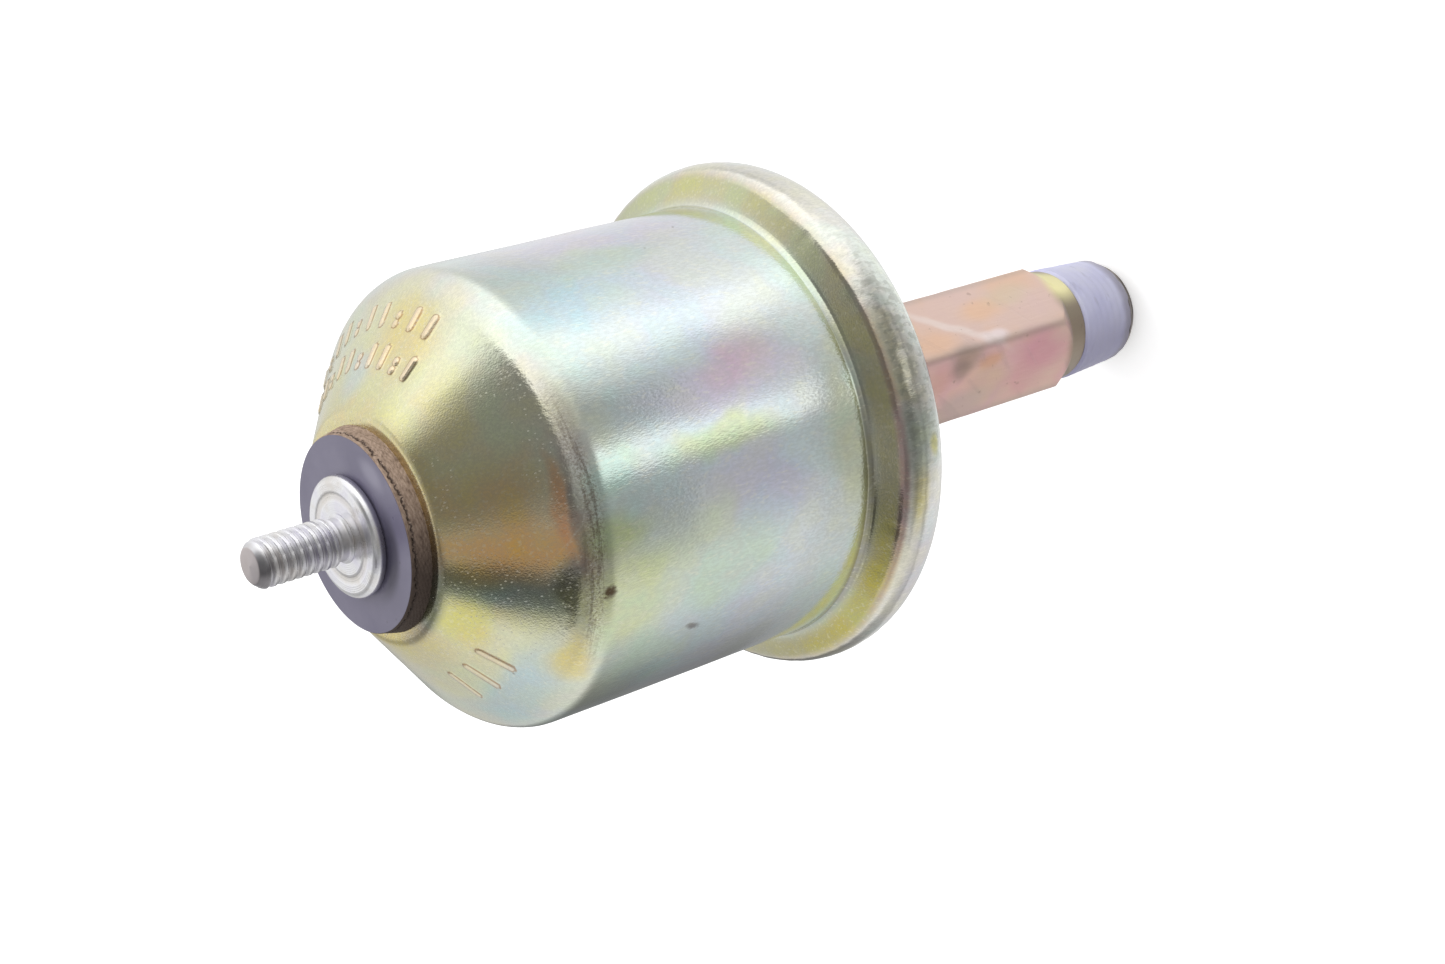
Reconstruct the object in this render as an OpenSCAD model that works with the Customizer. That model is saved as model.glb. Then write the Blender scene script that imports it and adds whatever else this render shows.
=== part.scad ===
// Oil pressure sender: a drawn can rolled over a base plate, with a pressure diaphragm,
// a plunger and a lever that wipes a wire-wound resistor.
// The axis is Z. The pipe thread points down, the terminal stud up, and the underside
// of the hex is at z = 0.

/* [Pressure nipple] */
// Hex bar, across its flats
hex_af = 12; // [11.6:0.1:13]
// Hex bar, from its underside to the boss of the base plate
hex_len = 32; // [26:0.5:40]
// Depth of the turned corners at the ends of the hex
hex_chamfer = 0.55; // [0.3:0.05:0.8]
// Radius of the plain shank under the hex
shank_r = 5.5; // [5.3:0.05:5.7]
// Length of the plain shank
shank_len = 2.5; // [1.5:0.1:4]
// Crest radius of the pipe thread below the shank
thread_r = 5.14; // [4.9:0.02:5.2]
// Length of the pipe thread
thread_len = 8.5; // [7:0.1:10]
// Loss of thread radius for each millimetre of length
thread_taper = 0.03125; // [0.02:0.00125:0.04]
// Length of the chamfer at the tip of the pipe thread
thread_tip = 0.8; // [0.4:0.1:1.2]
// Radius of the oil passage
passage_r = 1.5; // [1:0.1:2]
// Radius of the spigot that is riveted into the base plate
spigot_r = 4.2; // [3.6:0.1:4.6]
// Height of the spread end of the spigot
spigot_head_t = 0.6; // [0.4:0.05:0.7]
// Overhang of the spread end of the spigot
spigot_head_w = 1.1; // [0.6:0.1:1.6]

/* [Thread sealant] */
// Thickness of the sealant next to the shank
sealant_t = 0.5; // [0.3:0.05:0.55]
// Thickness of the sealant next to the tip
sealant_tip_t = 0.28; // [0.15:0.01:0.4]
// Bare thread left between the sealant and the tip chamfer
sealant_bare = 0.35; // [0.2:0.05:1]

/* [Snubber plug] */
// Radius of the plug in the mouth of the oil passage
plug_r = 2.4; // [2.1:0.1:2.8]
// Length of the plug
plug_len = 4; // [2.5:0.1:6]
// Depth of the plug inside the mouth
plug_depth = 1.2; // [0.6:0.1:2]
// Radius of the orifice through the plug
orifice_r = 0.45; // [0.3:0.05:0.7]

/* [Can] */
// Outer radius of the can wall
can_r = 19.7; // [18:0.1:20.6]
// Thickness of the can's sheet steel
can_t = 0.9; // [0.7:0.05:1.1]
// Height of the straight wall, from the flange to the centre of the cone's corner
wall_len = 27.7; // [26:0.1:34]
// Radius of the corner between wall and cone
corner_r = 3.5; // [2.5:0.1:5]
// Height of the cone, from the centre of its corner to the flat top
cone_h = 9.66; // [8.5:0.02:11]
// Radius of the flat top
top_flat_r = 9.3; // [9:0.1:10.5]
// Radius of the edge of the flat top
top_edge_r = 1.2; // [1:0.1:1.6]
// Radius of the hollow corner between wall and flange
fillet_r = 1; // [0.7:0.05:1.1]
// Reach of the rolled rim past the can wall
rim_w = 3.3; // [3:0.1:5]
// Radius of the rim's upper edge
rim_top_r = 1.7; // [1.2:0.1:1.8]
// Radius of the rim's lower edge
rim_bot_r = 2.2; // [1.4:0.1:2.4]
// Reach of the lip that is rolled under the base plate
lip_w = 3.5; // [2.8:0.1:4.5]
// Radius of the terminal hole in the can
can_hole_r = 3.6; // [3.3:0.1:4]

/* [Crimped stack] */
// Thickness of the base plate
base_t = 2; // [1.6:0.1:2.6]
// Play between the base plate and the inside of the rim
base_play = 0.15; // [0.1:0.05:0.3]
// Gap between the bridge plate's dome and the can wall
dome_gap = 1.8; // [1.2:0.1:2.4]
// Bevel on the lower edge of the base plate
base_bevel = 1.3; // [1.2:0.1:1.5]
// Radius of the boss round the nipple
boss_r = 9; // [8:0.1:11]
// Height of the boss
boss_h = 2.5; // [1.5:0.1:4]
// Radius of the boss's edge and foot
boss_edge_r = 0.6; // [0.3:0.1:0.7]
// Thickness of the rubber seal ring
seal_t = 1; // [0.8:0.05:1.4]
// Width of the rubber seal ring
seal_w = 3.4; // [2:0.1:4]
// Thickness of the diaphragm
diaphragm_t = 0.2; // [0.15:0.01:0.3]
// Height of the diaphragm's ripples
ripple_h = 0.25; // [0.1:0.05:0.35]
// Number of ripples in the diaphragm
ripples = 3; // [2:1:4]
// Thickness of the bridge plate
bridge_t = 1; // [0.8:0.05:1.2]
// Rise of the bridge plate over its clamped edge
bridge_rise = 3.3; // [3:0.1:4]

/* [Terminal] */
// Crest radius of the terminal stud's thread
stud_r = 2.083; // [1.9:0.01:2.3]
// Height of the stud over its collar
stud_len = 8.35; // [7:0.05:14]
// Length of the stud's tip chamfer
stud_tip = 0.75; // [0.4:0.05:1]
// Radius of the collar
collar_r = 5.2; // [4.8:0.1:6]
// Thickness of the collar
collar_t = 1.22; // [1:0.02:1.8]
// Radius of the collar's rounded edge
collar_edge_r = 0.45; // [0.2:0.05:0.5]
// Mean radius of the shallow ring pressed into the collar's face
collar_ring_r = 3.5; // [3.2:0.1:4]
// Thickness of the fibre washer under the collar
washer_t = 1.68; // [1.2:0.02:2.4]
// Radius of the fibre washer's upper face
washer_r = 8.3; // [7.6:0.1:8.6]
// Extra radius of the fibre washer at its lower face
washer_flare = 0.4; // [0:0.05:0.6]
// Radius of the insulator inside the can
insulator_r = 6.4; // [6:0.1:7.2]
// Thickness of the insulator inside the can
insulator_t = 1.2; // [1:0.1:1.8]
// Thickness of the contact leaf
leaf_t = 0.4; // [0.3:0.05:0.5]
// Radius of the stud's riveted inner end
peen_r = 3.3; // [3:0.1:4]
// Height of the stud's riveted inner end
peen_t = 0.85; // [0.6:0.05:1.2]

/* [Mechanism] */
// Travel of the plunger from no pressure to full pressure
travel = 1.2; // [0.8:0.05:1.25]
// Radius of the plunger's pin
pin_r = 1.1; // [0.9:0.05:1.2]
// Radius of the plunger's head
head_r = 4.5; // [4:0.1:5]
// Thickness of the plunger's head
head_t = 0.8; // [0.6:0.05:0.9]
// Distance from the plunger's axis to the lever's pivot
arm = 3; // [2.8:0.1:3.4]
// Height of the lever's pivot over the bridge plate
pivot_h = 5; // [4.6:0.1:6]
// Radius of the pivot pin
pivot_r = 0.8; // [0.6:0.05:0.9]
// Distance from the pivot to the inside of the resistor's winding
sweep_r = 14.95; // [13.5:0.05:15.5]
// Thickness of the resistor card
card_t = 1; // [0.8:0.05:1.4]
// Angle of the resistor card to each side of upright
card_angle = 15; // [14:0.5:17]
// Turns of wire on the resistor card
turns = 22; // [16:1:26]
// Distance between the bracket's cheeks
cheek_gap = 8.4; // [8:0.1:9]
// Thickness of the bracket's sheet
bracket_t = 0.8; // [0.6:0.05:1]

/* [Hidden] */
$fn = 96;

// Clearances between pieces that pass through or run in each other
slip = 0.05;
run = 0.08;

// Heights of the crimped stack, from the hex upwards
base_bot = hex_len + boss_h;
base_top = base_bot + base_t;
seal_top = base_top + seal_t;
diaphragm_top = seal_top + diaphragm_t;
clamp_top = diaphragm_top + bridge_t;
flange_top = clamp_top + can_t;
rim_bot = base_bot - can_t;
bridge_top = clamp_top + bridge_rise;
bridge_bot = bridge_top - bridge_t;

// Heights of the cone and the terminal stack
corner_z = flange_top + wall_len;
can_top = corner_z + cone_h;
collar_bot = can_top + washer_t;
collar_top = collar_bot + collar_t;
insulator_bot = can_top - can_t - insulator_t;
leaf_bot = insulator_bot - leaf_t;

// Radii of the stack that the rim holds
rim_r = can_r + rim_w;
lip_r = rim_r - lip_w;
base_r = rim_r - can_t - base_play;
clamp_r = rim_r - rim_top_r - 2 * slip;
foot_r = can_r - can_t - dome_gap;
bridge_flat_r = foot_r - bridge_rise;
ripple_in = head_r + 1;
ripple_out = foot_r - 1.4;

// Shape of the terminal's shank
shank_bore_r = stud_r + 0.1;
sleeve_r = can_hole_r - slip;

// Pivot of the lever and the arcs round it
pivot_x = -arm;
pivot_z = bridge_top + pivot_h;
swing = travel / arm * 180 / PI;
rest_angle = swing / 2;
wire_t = 0.25;
card_in = sweep_r + wire_t;
card_out = card_in + card_t;
winding_angle = card_angle - 2;
clip_t = 0.4;
cheek_y = cheek_gap / 2;
wound_y = cheek_y - 1;

// Adjusting screw in the lever's nose
screw_r = 0.7;
screw_ball_z = pivot_z - 0.5;
plunger_tip = screw_ball_z - screw_r - slip;

// Wiper on the lever's arm
lever_t = 1.2;
wiper_t = 0.25;
contact_r = 0.6;
contact_at = sweep_r - contact_r - 0.1;
rivet_at = 8;
arm_len = 10.5;

// Bracket's cheeks and foot, from the pivot backwards and forwards, and its rivets
cheek_back = 6;
cheek_front = 6.5;
cheek_over = 1.2;
foot_front = 10;
rivet_r = 0.9;
rivet_head_r = rivet_r + 0.6;
rivet_in = rivet_head_r + 0.1;
rivet_x = [pivot_x - cheek_back + rivet_in, pivot_x + foot_front - rivet_in];

// Overshoot of cuts
over = 1;

// Points of an arc round (cx, cz), from angle a0 to angle a1
function arc(cx, cz, r, a0, a1, n = 8) =
    [for (i = [0:n]) let (a = a0 + (a1 - a0) * i / n) [cx + r * cos(a), cz + r * sin(a)]];

function reversed(p) = [for (i = [len(p) - 1:-1:0]) p[i]];

// Direction of the cone's outward normal: the cone touches the top edge and the corner
function cone_normal() =
    let (dx = can_r - corner_r - top_flat_r, dz = top_edge_r - cone_h)
    atan2(dz, dx) + acos((top_edge_r - corner_r) / norm([dx, dz]));

// Section of the can's surface, taken e below the outside
function can_section(e) = concat(
    [[can_hole_r, can_top - e]],
    arc(top_flat_r, can_top - top_edge_r, top_edge_r - e, 90, cone_normal(), 6),
    arc(can_r - corner_r, corner_z, corner_r - e, cone_normal(), 0, 12),
    arc(can_r + fillet_r, flange_top + fillet_r, fillet_r + e, 180, 270, 8),
    arc(rim_r - rim_top_r, flange_top - rim_top_r, rim_top_r - e, 90, 0, 10),
    arc(rim_r - rim_bot_r, rim_bot + rim_bot_r, rim_bot_r - e, 0, -90, 10),
    [[lip_r, rim_bot + e]]
);

// Section of the diaphragm's surface, taken e above its underside
function diaphragm_section(e) = concat(
    [[0, seal_top + e]],
    [for (i = [0:12 * ripples])
        let (a = i / (12 * ripples))
        [ripple_in + (ripple_out - ripple_in) * a,
            seal_top + e + ripple_h * (1 - cos(360 * ripples * a)) / 2]],
    [[clamp_r, seal_top + e]]
);

// Radius of the pipe thread's crests at height z
function thread_at(z) = thread_r + thread_taper * (z + shank_len);

// Ring between two radii
module ring(r0, r1, z0, z1) {
    translate([0, 0, z0])
        difference() {
            cylinder(r = r1, h = z1 - z0);
            translate([0, 0, -over])
                cylinder(r = r0, h = z1 - z0 + 2 * over);
        }
}

// Part of a ring round the lever's pivot, between two angles from upright
module pivot_sector(r0, r1, half_w, a0, a1) {
    translate([pivot_x, 0, pivot_z])
        rotate([90, 0, 0])
            rotate([0, 0, 90 - a1])
                rotate_extrude(angle = a1 - a0)
                    translate([r0, -half_w])
                        square([r1 - r0, 2 * half_w]);
}

// Plate in the XZ plane, from a flat shape
module upright_plate(t, y = 0) {
    translate([0, y, 0])
        rotate([90, 0, 0])
            linear_extrude(t, center = true)
                children();
}

// Rod along Y
module cross_rod(r, y0, y1) {
    translate([0, y1, 0])
        rotate([90, 0, 0])
            cylinder(r = r, h = y1 - y0);
}

// Moves what belongs to the lever to its place and its angle with no pressure
module on_lever() {
    translate([pivot_x, 0, pivot_z])
        rotate([0, rest_angle, 0])
            children();
}

// Normal of the stretch from p to q, and the mitre of a path's bend i
function side_of(p, q) = let (d = q - p) [-d[1], d[0]] / norm(d);
function mitre(path, i) =
    let (last = len(path) - 1)
    let (before = side_of(path[max(i, 1) - 1], path[max(i, 1)]))
    let (after = side_of(path[min(i, last - 1)], path[min(i, last - 1) + 1]))
    (before + after) / (1 + before * after);

// Bent sheet strip of thickness t and width w, along a path in the XZ plane
module strip(path, t, w) {
    steps = [0:len(path) - 1];
    upright_plate(w)
        polygon(concat(
            [for (i = steps) path[i] + mitre(path, i) * t / 2],
            reversed([for (i = steps) path[i] - mitre(path, i) * t / 2])
        ));
}

module cover_can() {
    color([0.73, 0.72, 0.47])
        rotate_extrude()
            polygon(concat(can_section(0), reversed(can_section(can_t))));
}

module terminal_stud() {
    groove = 0.12;
    color([0.83, 0.83, 0.85])
        difference() {
            rotate_extrude()
                polygon(concat(
                    [[0, leaf_bot - peen_t], [peen_r - peen_t / 2, leaf_bot - peen_t]],
                    [[peen_r, leaf_bot - peen_t / 2], [peen_r, leaf_bot], [stud_r, leaf_bot]],
                    [[stud_r, collar_bot]],
                    arc(collar_r - collar_edge_r, collar_bot + collar_edge_r, collar_edge_r, -90, 0, 6),
                    arc(collar_r - collar_edge_r, collar_top - collar_edge_r, collar_edge_r, 0, 90, 6),
                    [[stud_r, collar_top], [stud_r, collar_top + stud_len - stud_tip]],
                    [[stud_r - stud_tip * 0.7, collar_top + stud_len], [0, collar_top + stud_len]]
                ));
            ring(collar_ring_r - groove * 1.5, collar_ring_r + groove * 1.5,
                collar_top - groove, collar_top + groove);
        }
}

module terminal_washer() {
    color([0.51, 0.5, 0.58])
        rotate_extrude()
            polygon([
                [shank_bore_r, can_top], [washer_r + washer_flare, can_top],
                [washer_r, collar_bot], [shank_bore_r, collar_bot]
            ]);
}

module inner_insulator() {
    color([0.36, 0.22, 0.14])
        difference() {
            union() {
                translate([0, 0, insulator_bot])
                    cylinder(r = insulator_r, h = insulator_t);
                translate([0, 0, insulator_bot])
                    cylinder(r = sleeve_r, h = can_top - insulator_bot);
            }
            translate([0, 0, insulator_bot - over])
                cylinder(r = shank_bore_r, h = can_top - insulator_bot + 2 * over);
        }
}

module contact_leaf() {
    leaf_w = 3;
    z = leaf_bot + leaf_t / 2;
    foot_a = card_angle - 0.7;
    foot_at = card_out + clip_t + leaf_t / 2 + slip;
    foot = [pivot_x + foot_at * sin(foot_a), pivot_z + foot_at * cos(foot_a)];
    color([0.8, 0.6, 0.32]) {
        ring(shank_bore_r, peen_r + 1.2, leaf_bot, leaf_bot + leaf_t);
        strip([[peen_r, z], [peen_r + 3.6, z], [peen_r + 3, z - 4], foot + [3, 1.2], foot],
            leaf_t, leaf_w);
    }
}

module hex_nipple() {
    corner = hex_af / 2 / cos(30);
    tip = -shank_len - thread_len;
    color([0.83, 0.71, 0.61])
        difference() {
            union() {
                intersection() {
                    cylinder(r = corner, h = hex_len, $fn = 6);
                    rotate_extrude()
                        polygon([
                            [0, 0], [corner - hex_chamfer * 1.7, 0], [corner + 0.2, hex_chamfer + 0.2],
                            [corner + 0.2, hex_len - hex_chamfer - 0.2],
                            [corner - hex_chamfer * 1.7, hex_len], [0, hex_len]
                        ]);
                }
                rotate_extrude()
                    polygon([
                        [0, tip], [thread_at(tip) - thread_tip, tip],
                        [thread_at(tip + thread_tip), tip + thread_tip],
                        [thread_r, -shank_len], [shank_r, -shank_len], [shank_r, 0.1], [0, 0.1]
                    ]);
                translate([0, 0, hex_len - 0.1])
                    cylinder(r = spigot_r, h = base_top - hex_len + 0.1);
                translate([0, 0, base_top])
                    cylinder(r = spigot_r + spigot_head_w, h = spigot_head_t);
            }
            translate([0, 0, tip - over])
                cylinder(r = passage_r, h = base_top - tip + spigot_head_t + 2 * over);
            translate([0, 0, tip - over])
                cylinder(r = plug_r, h = plug_depth + plug_len + over);
        }
}

module thread_sealant() {
    top = -shank_len;
    bot = -shank_len - thread_len + thread_tip + sealant_bare;
    soft = 0.3;
    color([0.88, 0.88, 0.95])
        rotate_extrude()
            polygon([
                [thread_r, top], [thread_at(bot), bot],
                [thread_at(bot) + sealant_tip_t * 0.6, bot],
                [thread_at(bot + soft) + sealant_tip_t, bot + soft],
                [thread_at(top - soft) + sealant_t, top - soft],
                [thread_r + sealant_t * 0.7, top]
            ]);
}

module snubber_plug() {
    mouth = -shank_len - thread_len;
    color([0.78, 0.62, 0.35])
        ring(orifice_r, plug_r, mouth + plug_depth, mouth + plug_depth + plug_len);
}

module base_plate() {
    color([0.75, 0.72, 0.5])
        rotate_extrude()
            polygon(concat(
                [[spigot_r, base_top], [spigot_r, hex_len]],
                arc(boss_r - boss_edge_r, hex_len + boss_edge_r, boss_edge_r, -90, 0, 5),
                arc(boss_r + boss_edge_r, base_bot - boss_edge_r, boss_edge_r, 180, 90, 5),
                [[base_r - base_bevel, base_bot], [base_r, base_bot + base_bevel], [base_r, base_top]]
            ));
}

module seal_ring() {
    color([0.13, 0.13, 0.14])
        ring(clamp_r - seal_w, clamp_r, base_top, seal_top);
}

module diaphragm() {
    color([0.76, 0.66, 0.45])
        rotate_extrude()
            polygon(concat(diaphragm_section(0), reversed(diaphragm_section(diaphragm_t))));
}

module bridge_plate() {
    lean = bridge_t * 0.45;
    color([0.7, 0.71, 0.72])
        difference() {
            rotate_extrude()
                polygon([
                    [pin_r + run, bridge_top], [pin_r + run, bridge_bot],
                    [bridge_flat_r - lean, bridge_bot], [foot_r - lean, diaphragm_top],
                    [clamp_r, diaphragm_top], [clamp_r, clamp_top],
                    [foot_r, clamp_top], [bridge_flat_r, bridge_top]
                ]);
            for (x = rivet_x)
                translate([x, 0, bridge_bot - over])
                    cylinder(r = rivet_r + slip, h = bridge_t + 2 * over);
        }
}

module plunger() {
    color([0.66, 0.67, 0.7])
        rotate_extrude()
            polygon([
                [0, diaphragm_top], [head_r, diaphragm_top], [head_r, diaphragm_top + head_t],
                [pin_r, diaphragm_top + head_t], [pin_r, plunger_tip], [0, plunger_tip]
            ]);
}

// One point of the spring's surface, at angle a along the coil and b round the wire
function coil_point(a, b, coil_r, wire_r, z0, pitch) = [
    (coil_r + wire_r * cos(b)) * cos(a),
    (coil_r + wire_r * cos(b)) * sin(a),
    z0 + pitch * a / 360 + wire_r * sin(b)
];

module return_spring() {
    wire_r = 0.2;
    coil_r = pin_r + 1.3;
    coils = 3;
    steps = 20 * coils;
    sides = 8;
    z0 = diaphragm_top + head_t + wire_r;
    pitch = (bridge_bot - wire_r - z0) / coils;
    points = [for (i = [0:steps], k = [0:sides - 1])
        coil_point(360 * coils * i / steps, 360 * k / sides, coil_r, wire_r, z0, pitch)];
    sides_faces = [for (i = [0:steps - 1], k = [0:sides - 1])
        let (a = i * sides + k, b = i * sides + (k + 1) % sides)
        [a, b, b + sides, a + sides]];
    start = [for (k = [sides - 1:-1:0]) k];
    end = [for (k = [0:sides - 1]) steps * sides + k];
    color([0.55, 0.56, 0.58])
        polyhedron(points, concat([start, end], sides_faces), convexity = 6);
}

// Outline of one of the bracket's cheeks
module cheek_outline() {
    top_a = card_angle + 3;
    top_r = card_out + cheek_over;
    foot_z = bridge_top - pivot_z;
    difference() {
        union() {
            polygon([
                [-cheek_back, foot_z], [cheek_front, foot_z], [5, 1.5],
                [top_r * sin(top_a), top_r * cos(top_a)],
                [0, top_r],
                [-top_r * sin(top_a), top_r * cos(top_a)], [-5, 1.5]
            ]);
            circle(r = top_r * 0.2);
        }
        polygon([[-2.2, 3.6], [2.2, 3.6], [3.2, sweep_r - 1.8], [-3.2, sweep_r - 1.8]]);
        circle(r = pivot_r + slip / 2);
    }
}

module bracket() {
    y = cheek_y + bracket_t / 2;
    color([0.62, 0.63, 0.66])
        difference() {
            union() {
                for (side = [-1, 1])
                    translate([pivot_x, 0, pivot_z])
                        upright_plate(bracket_t, side * y)
                            cheek_outline();
                translate([pivot_x - cheek_back, -cheek_y - bracket_t, bridge_top])
                    cube([cheek_back + foot_front, 2 * (cheek_y + bracket_t), bracket_t]);
            }
            translate([0, 0, bridge_top - over])
                cylinder(r = pin_r + 0.5, h = bracket_t + 2 * over);
            for (x = rivet_x)
                translate([x, 0, bridge_top - over])
                    cylinder(r = rivet_r + slip, h = bracket_t + 2 * over);
            card_ends(slip, cheek_y + bracket_t + over);
        }
}

module bracket_rivets() {
    color([0.72, 0.73, 0.75])
        for (x = rivet_x)
            translate([x, 0, 0]) {
                translate([0, 0, bridge_bot - 0.5])
                    cylinder(r = rivet_head_r, h = 0.5);
                translate([0, 0, bridge_bot - 0.1])
                    cylinder(r = rivet_r, h = bridge_t + bracket_t + 0.2);
                translate([0, 0, bridge_top + bracket_t])
                    cylinder(r1 = rivet_head_r, r2 = rivet_r, h = 0.6);
            }
}

module pivot_pin() {
    outer_y = cheek_y + bracket_t;
    color([0.78, 0.79, 0.8])
        translate([pivot_x, 0, pivot_z]) {
            cross_rod(pivot_r, -outer_y - 0.1, outer_y + 0.1);
            cross_rod(pivot_r + 0.5, outer_y, outer_y + 0.5);
            cross_rod(pivot_r + 0.5, -outer_y - 0.5, -outer_y);
        }
}

module lever() {
    hub_r = pivot_r + 0.9;
    color([0.64, 0.65, 0.68])
        difference() {
            union() {
                on_lever() {
                    cross_rod(hub_r, -cheek_y + 0.2, cheek_y - 0.2);
                    upright_plate(lever_t) {
                        polygon([[-1.1, 0], [1.1, 0], [1, arm_len], [-1, arm_len]]);
                        translate([0, arm_len])
                            circle(r = 1);
                    }
                }
                translate([pivot_x, -lever_t / 2, pivot_z - 0.4])
                    cube([arm - screw_r - 0.1, lever_t, 1.6]);
                translate([pivot_x + arm - 1.1, -1.5, pivot_z + 0.2])
                    cube([2.2, 3, 1]);
            }
            on_lever() {
                cross_rod(pivot_r + slip, -cheek_y - over, cheek_y + over);
                translate([0, 0, rivet_at])
                    cross_rod(0.5 + slip / 2, -lever_t, lever_t);
            }
            translate([0, 0, pivot_z - 1])
                cylinder(r = screw_r + slip / 2, h = 4);
        }
}

module zero_screw() {
    head_z = pivot_z + 2;
    color([0.8, 0.7, 0.4])
        difference() {
            union() {
                translate([0, 0, screw_ball_z])
                    sphere(r = screw_r);
                translate([0, 0, screw_ball_z])
                    cylinder(r = screw_r, h = head_z - screw_ball_z + 0.1);
                translate([0, 0, head_z])
                    cylinder(r = screw_r + 0.4, h = 0.8);
            }
            translate([-2, -0.15, head_z + 0.4])
                cube([4, 0.3, 1]);
        }
}

module wiper_leaf() {
    y = lever_t / 2 + wiper_t / 2;
    color([0.82, 0.6, 0.35])
        on_lever()
            difference() {
                upright_plate(wiper_t, y)
                    polygon([
                        [-0.9, rivet_at - 1.6], [0.9, rivet_at - 1.6], [0.9, rivet_at + 2],
                        [0.55, contact_at + 0.5], [-0.55, contact_at + 0.5], [-0.9, rivet_at + 2]
                    ]);
                translate([0, 0, rivet_at])
                    cross_rod(0.5 + slip / 2, 0, 2);
                translate([0, 0, contact_at])
                    cross_rod(0.3 + slip / 2, 0, 2);
            }
}

module wiper_rivet() {
    outer_y = lever_t / 2 + wiper_t;
    color([0.78, 0.78, 0.76])
        on_lever()
            translate([0, 0, rivet_at]) {
                cross_rod(0.5, -lever_t / 2 - 0.1, outer_y + 0.1);
                cross_rod(0.8, outer_y, outer_y + 0.35);
                cross_rod(0.8, -lever_t / 2 - 0.35, -lever_t / 2);
            }
}

module wiper_contact() {
    inner_y = lever_t / 2;
    outer_y = lever_t / 2 + wiper_t;
    color([0.85, 0.83, 0.78])
        on_lever()
            translate([0, 0, contact_at]) {
                cross_rod(0.3, inner_y - 0.1, outer_y + 0.1);
                cross_rod(contact_r, outer_y, outer_y + 1.1);
                cross_rod(0.5, inner_y - 0.3, inner_y);
            }
}

// Both ends of the resistor card, which reach through the bracket's cheeks
module card_ends(clear, half_w) {
    for (side = [-1, 1]) {
        a = side * (winding_angle + card_angle + 0.3) / 2;
        half_a = (card_angle - winding_angle - 0.3) / 2 + clear;
        pivot_sector(card_in - clear, card_out + clear, half_w, a - half_a, a + half_a);
    }
}

module resistor_card() {
    color([0.55, 0.38, 0.22]) {
        pivot_sector(card_in, card_out, wound_y - wire_t, -card_angle, card_angle);
        card_ends(0, cheek_y + bracket_t);
    }
}

module resistor_winding() {
    step = 2 * winding_angle / turns;
    thin = wire_t / 2;
    color([0.75, 0.72, 0.66])
        difference() {
            union() {
                pivot_sector(card_in - thin, card_out + thin, wound_y - thin,
                    -winding_angle, winding_angle);
                for (i = [0:turns - 1])
                    pivot_sector(card_in - wire_t, card_out + wire_t, wound_y,
                        -winding_angle + step * (i + 0.2), -winding_angle + step * (i + 0.8));
            }
            pivot_sector(card_in, card_out, wound_y - wire_t, -card_angle, card_angle);
        }
}

module card_clip() {
    color([0.78, 0.6, 0.34])
        difference() {
            pivot_sector(card_in - clip_t, card_out + clip_t, wound_y,
                winding_angle + 0.3, card_angle + 0.8);
            pivot_sector(card_in, card_out, wound_y + over, -card_angle, card_angle);
        }
}

cover_can();
terminal_stud();
terminal_washer();
inner_insulator();
contact_leaf();
hex_nipple();
thread_sealant();
snubber_plug();
base_plate();
seal_ring();
diaphragm();
bridge_plate();
plunger();
return_spring();
bracket();
bracket_rivets();
pivot_pin();
lever();
zero_screw();
wiper_leaf();
wiper_rivet();
wiper_contact();
resistor_card();
resistor_winding();
card_clip();
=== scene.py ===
import math

import bpy
import numpy as np
from mathutils import Matrix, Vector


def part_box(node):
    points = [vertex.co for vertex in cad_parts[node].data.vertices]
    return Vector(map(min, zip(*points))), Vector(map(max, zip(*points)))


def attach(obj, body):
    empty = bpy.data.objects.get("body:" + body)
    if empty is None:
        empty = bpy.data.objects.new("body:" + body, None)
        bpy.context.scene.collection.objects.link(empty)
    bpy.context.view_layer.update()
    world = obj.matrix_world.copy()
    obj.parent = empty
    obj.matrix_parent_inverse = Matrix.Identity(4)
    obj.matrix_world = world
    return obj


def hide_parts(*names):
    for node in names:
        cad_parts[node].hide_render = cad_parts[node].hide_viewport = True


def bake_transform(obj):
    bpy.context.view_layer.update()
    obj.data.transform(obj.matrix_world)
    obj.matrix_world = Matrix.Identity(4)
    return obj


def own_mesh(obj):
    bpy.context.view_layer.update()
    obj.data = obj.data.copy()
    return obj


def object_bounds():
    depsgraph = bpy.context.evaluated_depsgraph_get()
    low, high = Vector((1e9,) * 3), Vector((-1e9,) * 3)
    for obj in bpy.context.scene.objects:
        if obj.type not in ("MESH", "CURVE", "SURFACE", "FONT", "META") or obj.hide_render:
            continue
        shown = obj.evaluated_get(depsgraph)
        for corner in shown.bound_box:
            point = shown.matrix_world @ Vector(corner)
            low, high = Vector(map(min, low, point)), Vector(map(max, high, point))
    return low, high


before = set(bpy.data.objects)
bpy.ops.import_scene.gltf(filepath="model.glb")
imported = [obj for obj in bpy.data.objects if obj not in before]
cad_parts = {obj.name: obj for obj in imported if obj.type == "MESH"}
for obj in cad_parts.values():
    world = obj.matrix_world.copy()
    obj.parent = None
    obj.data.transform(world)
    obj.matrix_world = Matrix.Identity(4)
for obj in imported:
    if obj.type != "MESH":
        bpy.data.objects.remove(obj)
cadBox = [list(corner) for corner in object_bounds()]
print("frame loaded with", len(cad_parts), "nodes")

mm = 0.001
degree = math.pi / 180


def nodeBox(node):
    # lowest and highest corner of a solid, in millimetres
    low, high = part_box(node)
    return np.array(low) / mm, np.array(high) / mm


# Shapes: every piece is a grid of points whose columns run round an axis

def ovalLine(centre, across, up, start, end, count):
    # points of an oval's edge: the centre plus (across * cosine, up * sine), from start to end in degrees
    angle = np.linspace(start, end, count) * degree
    return np.stack([centre[0] + across * np.cos(angle), centre[1] + up * np.sin(angle)], 1)


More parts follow.
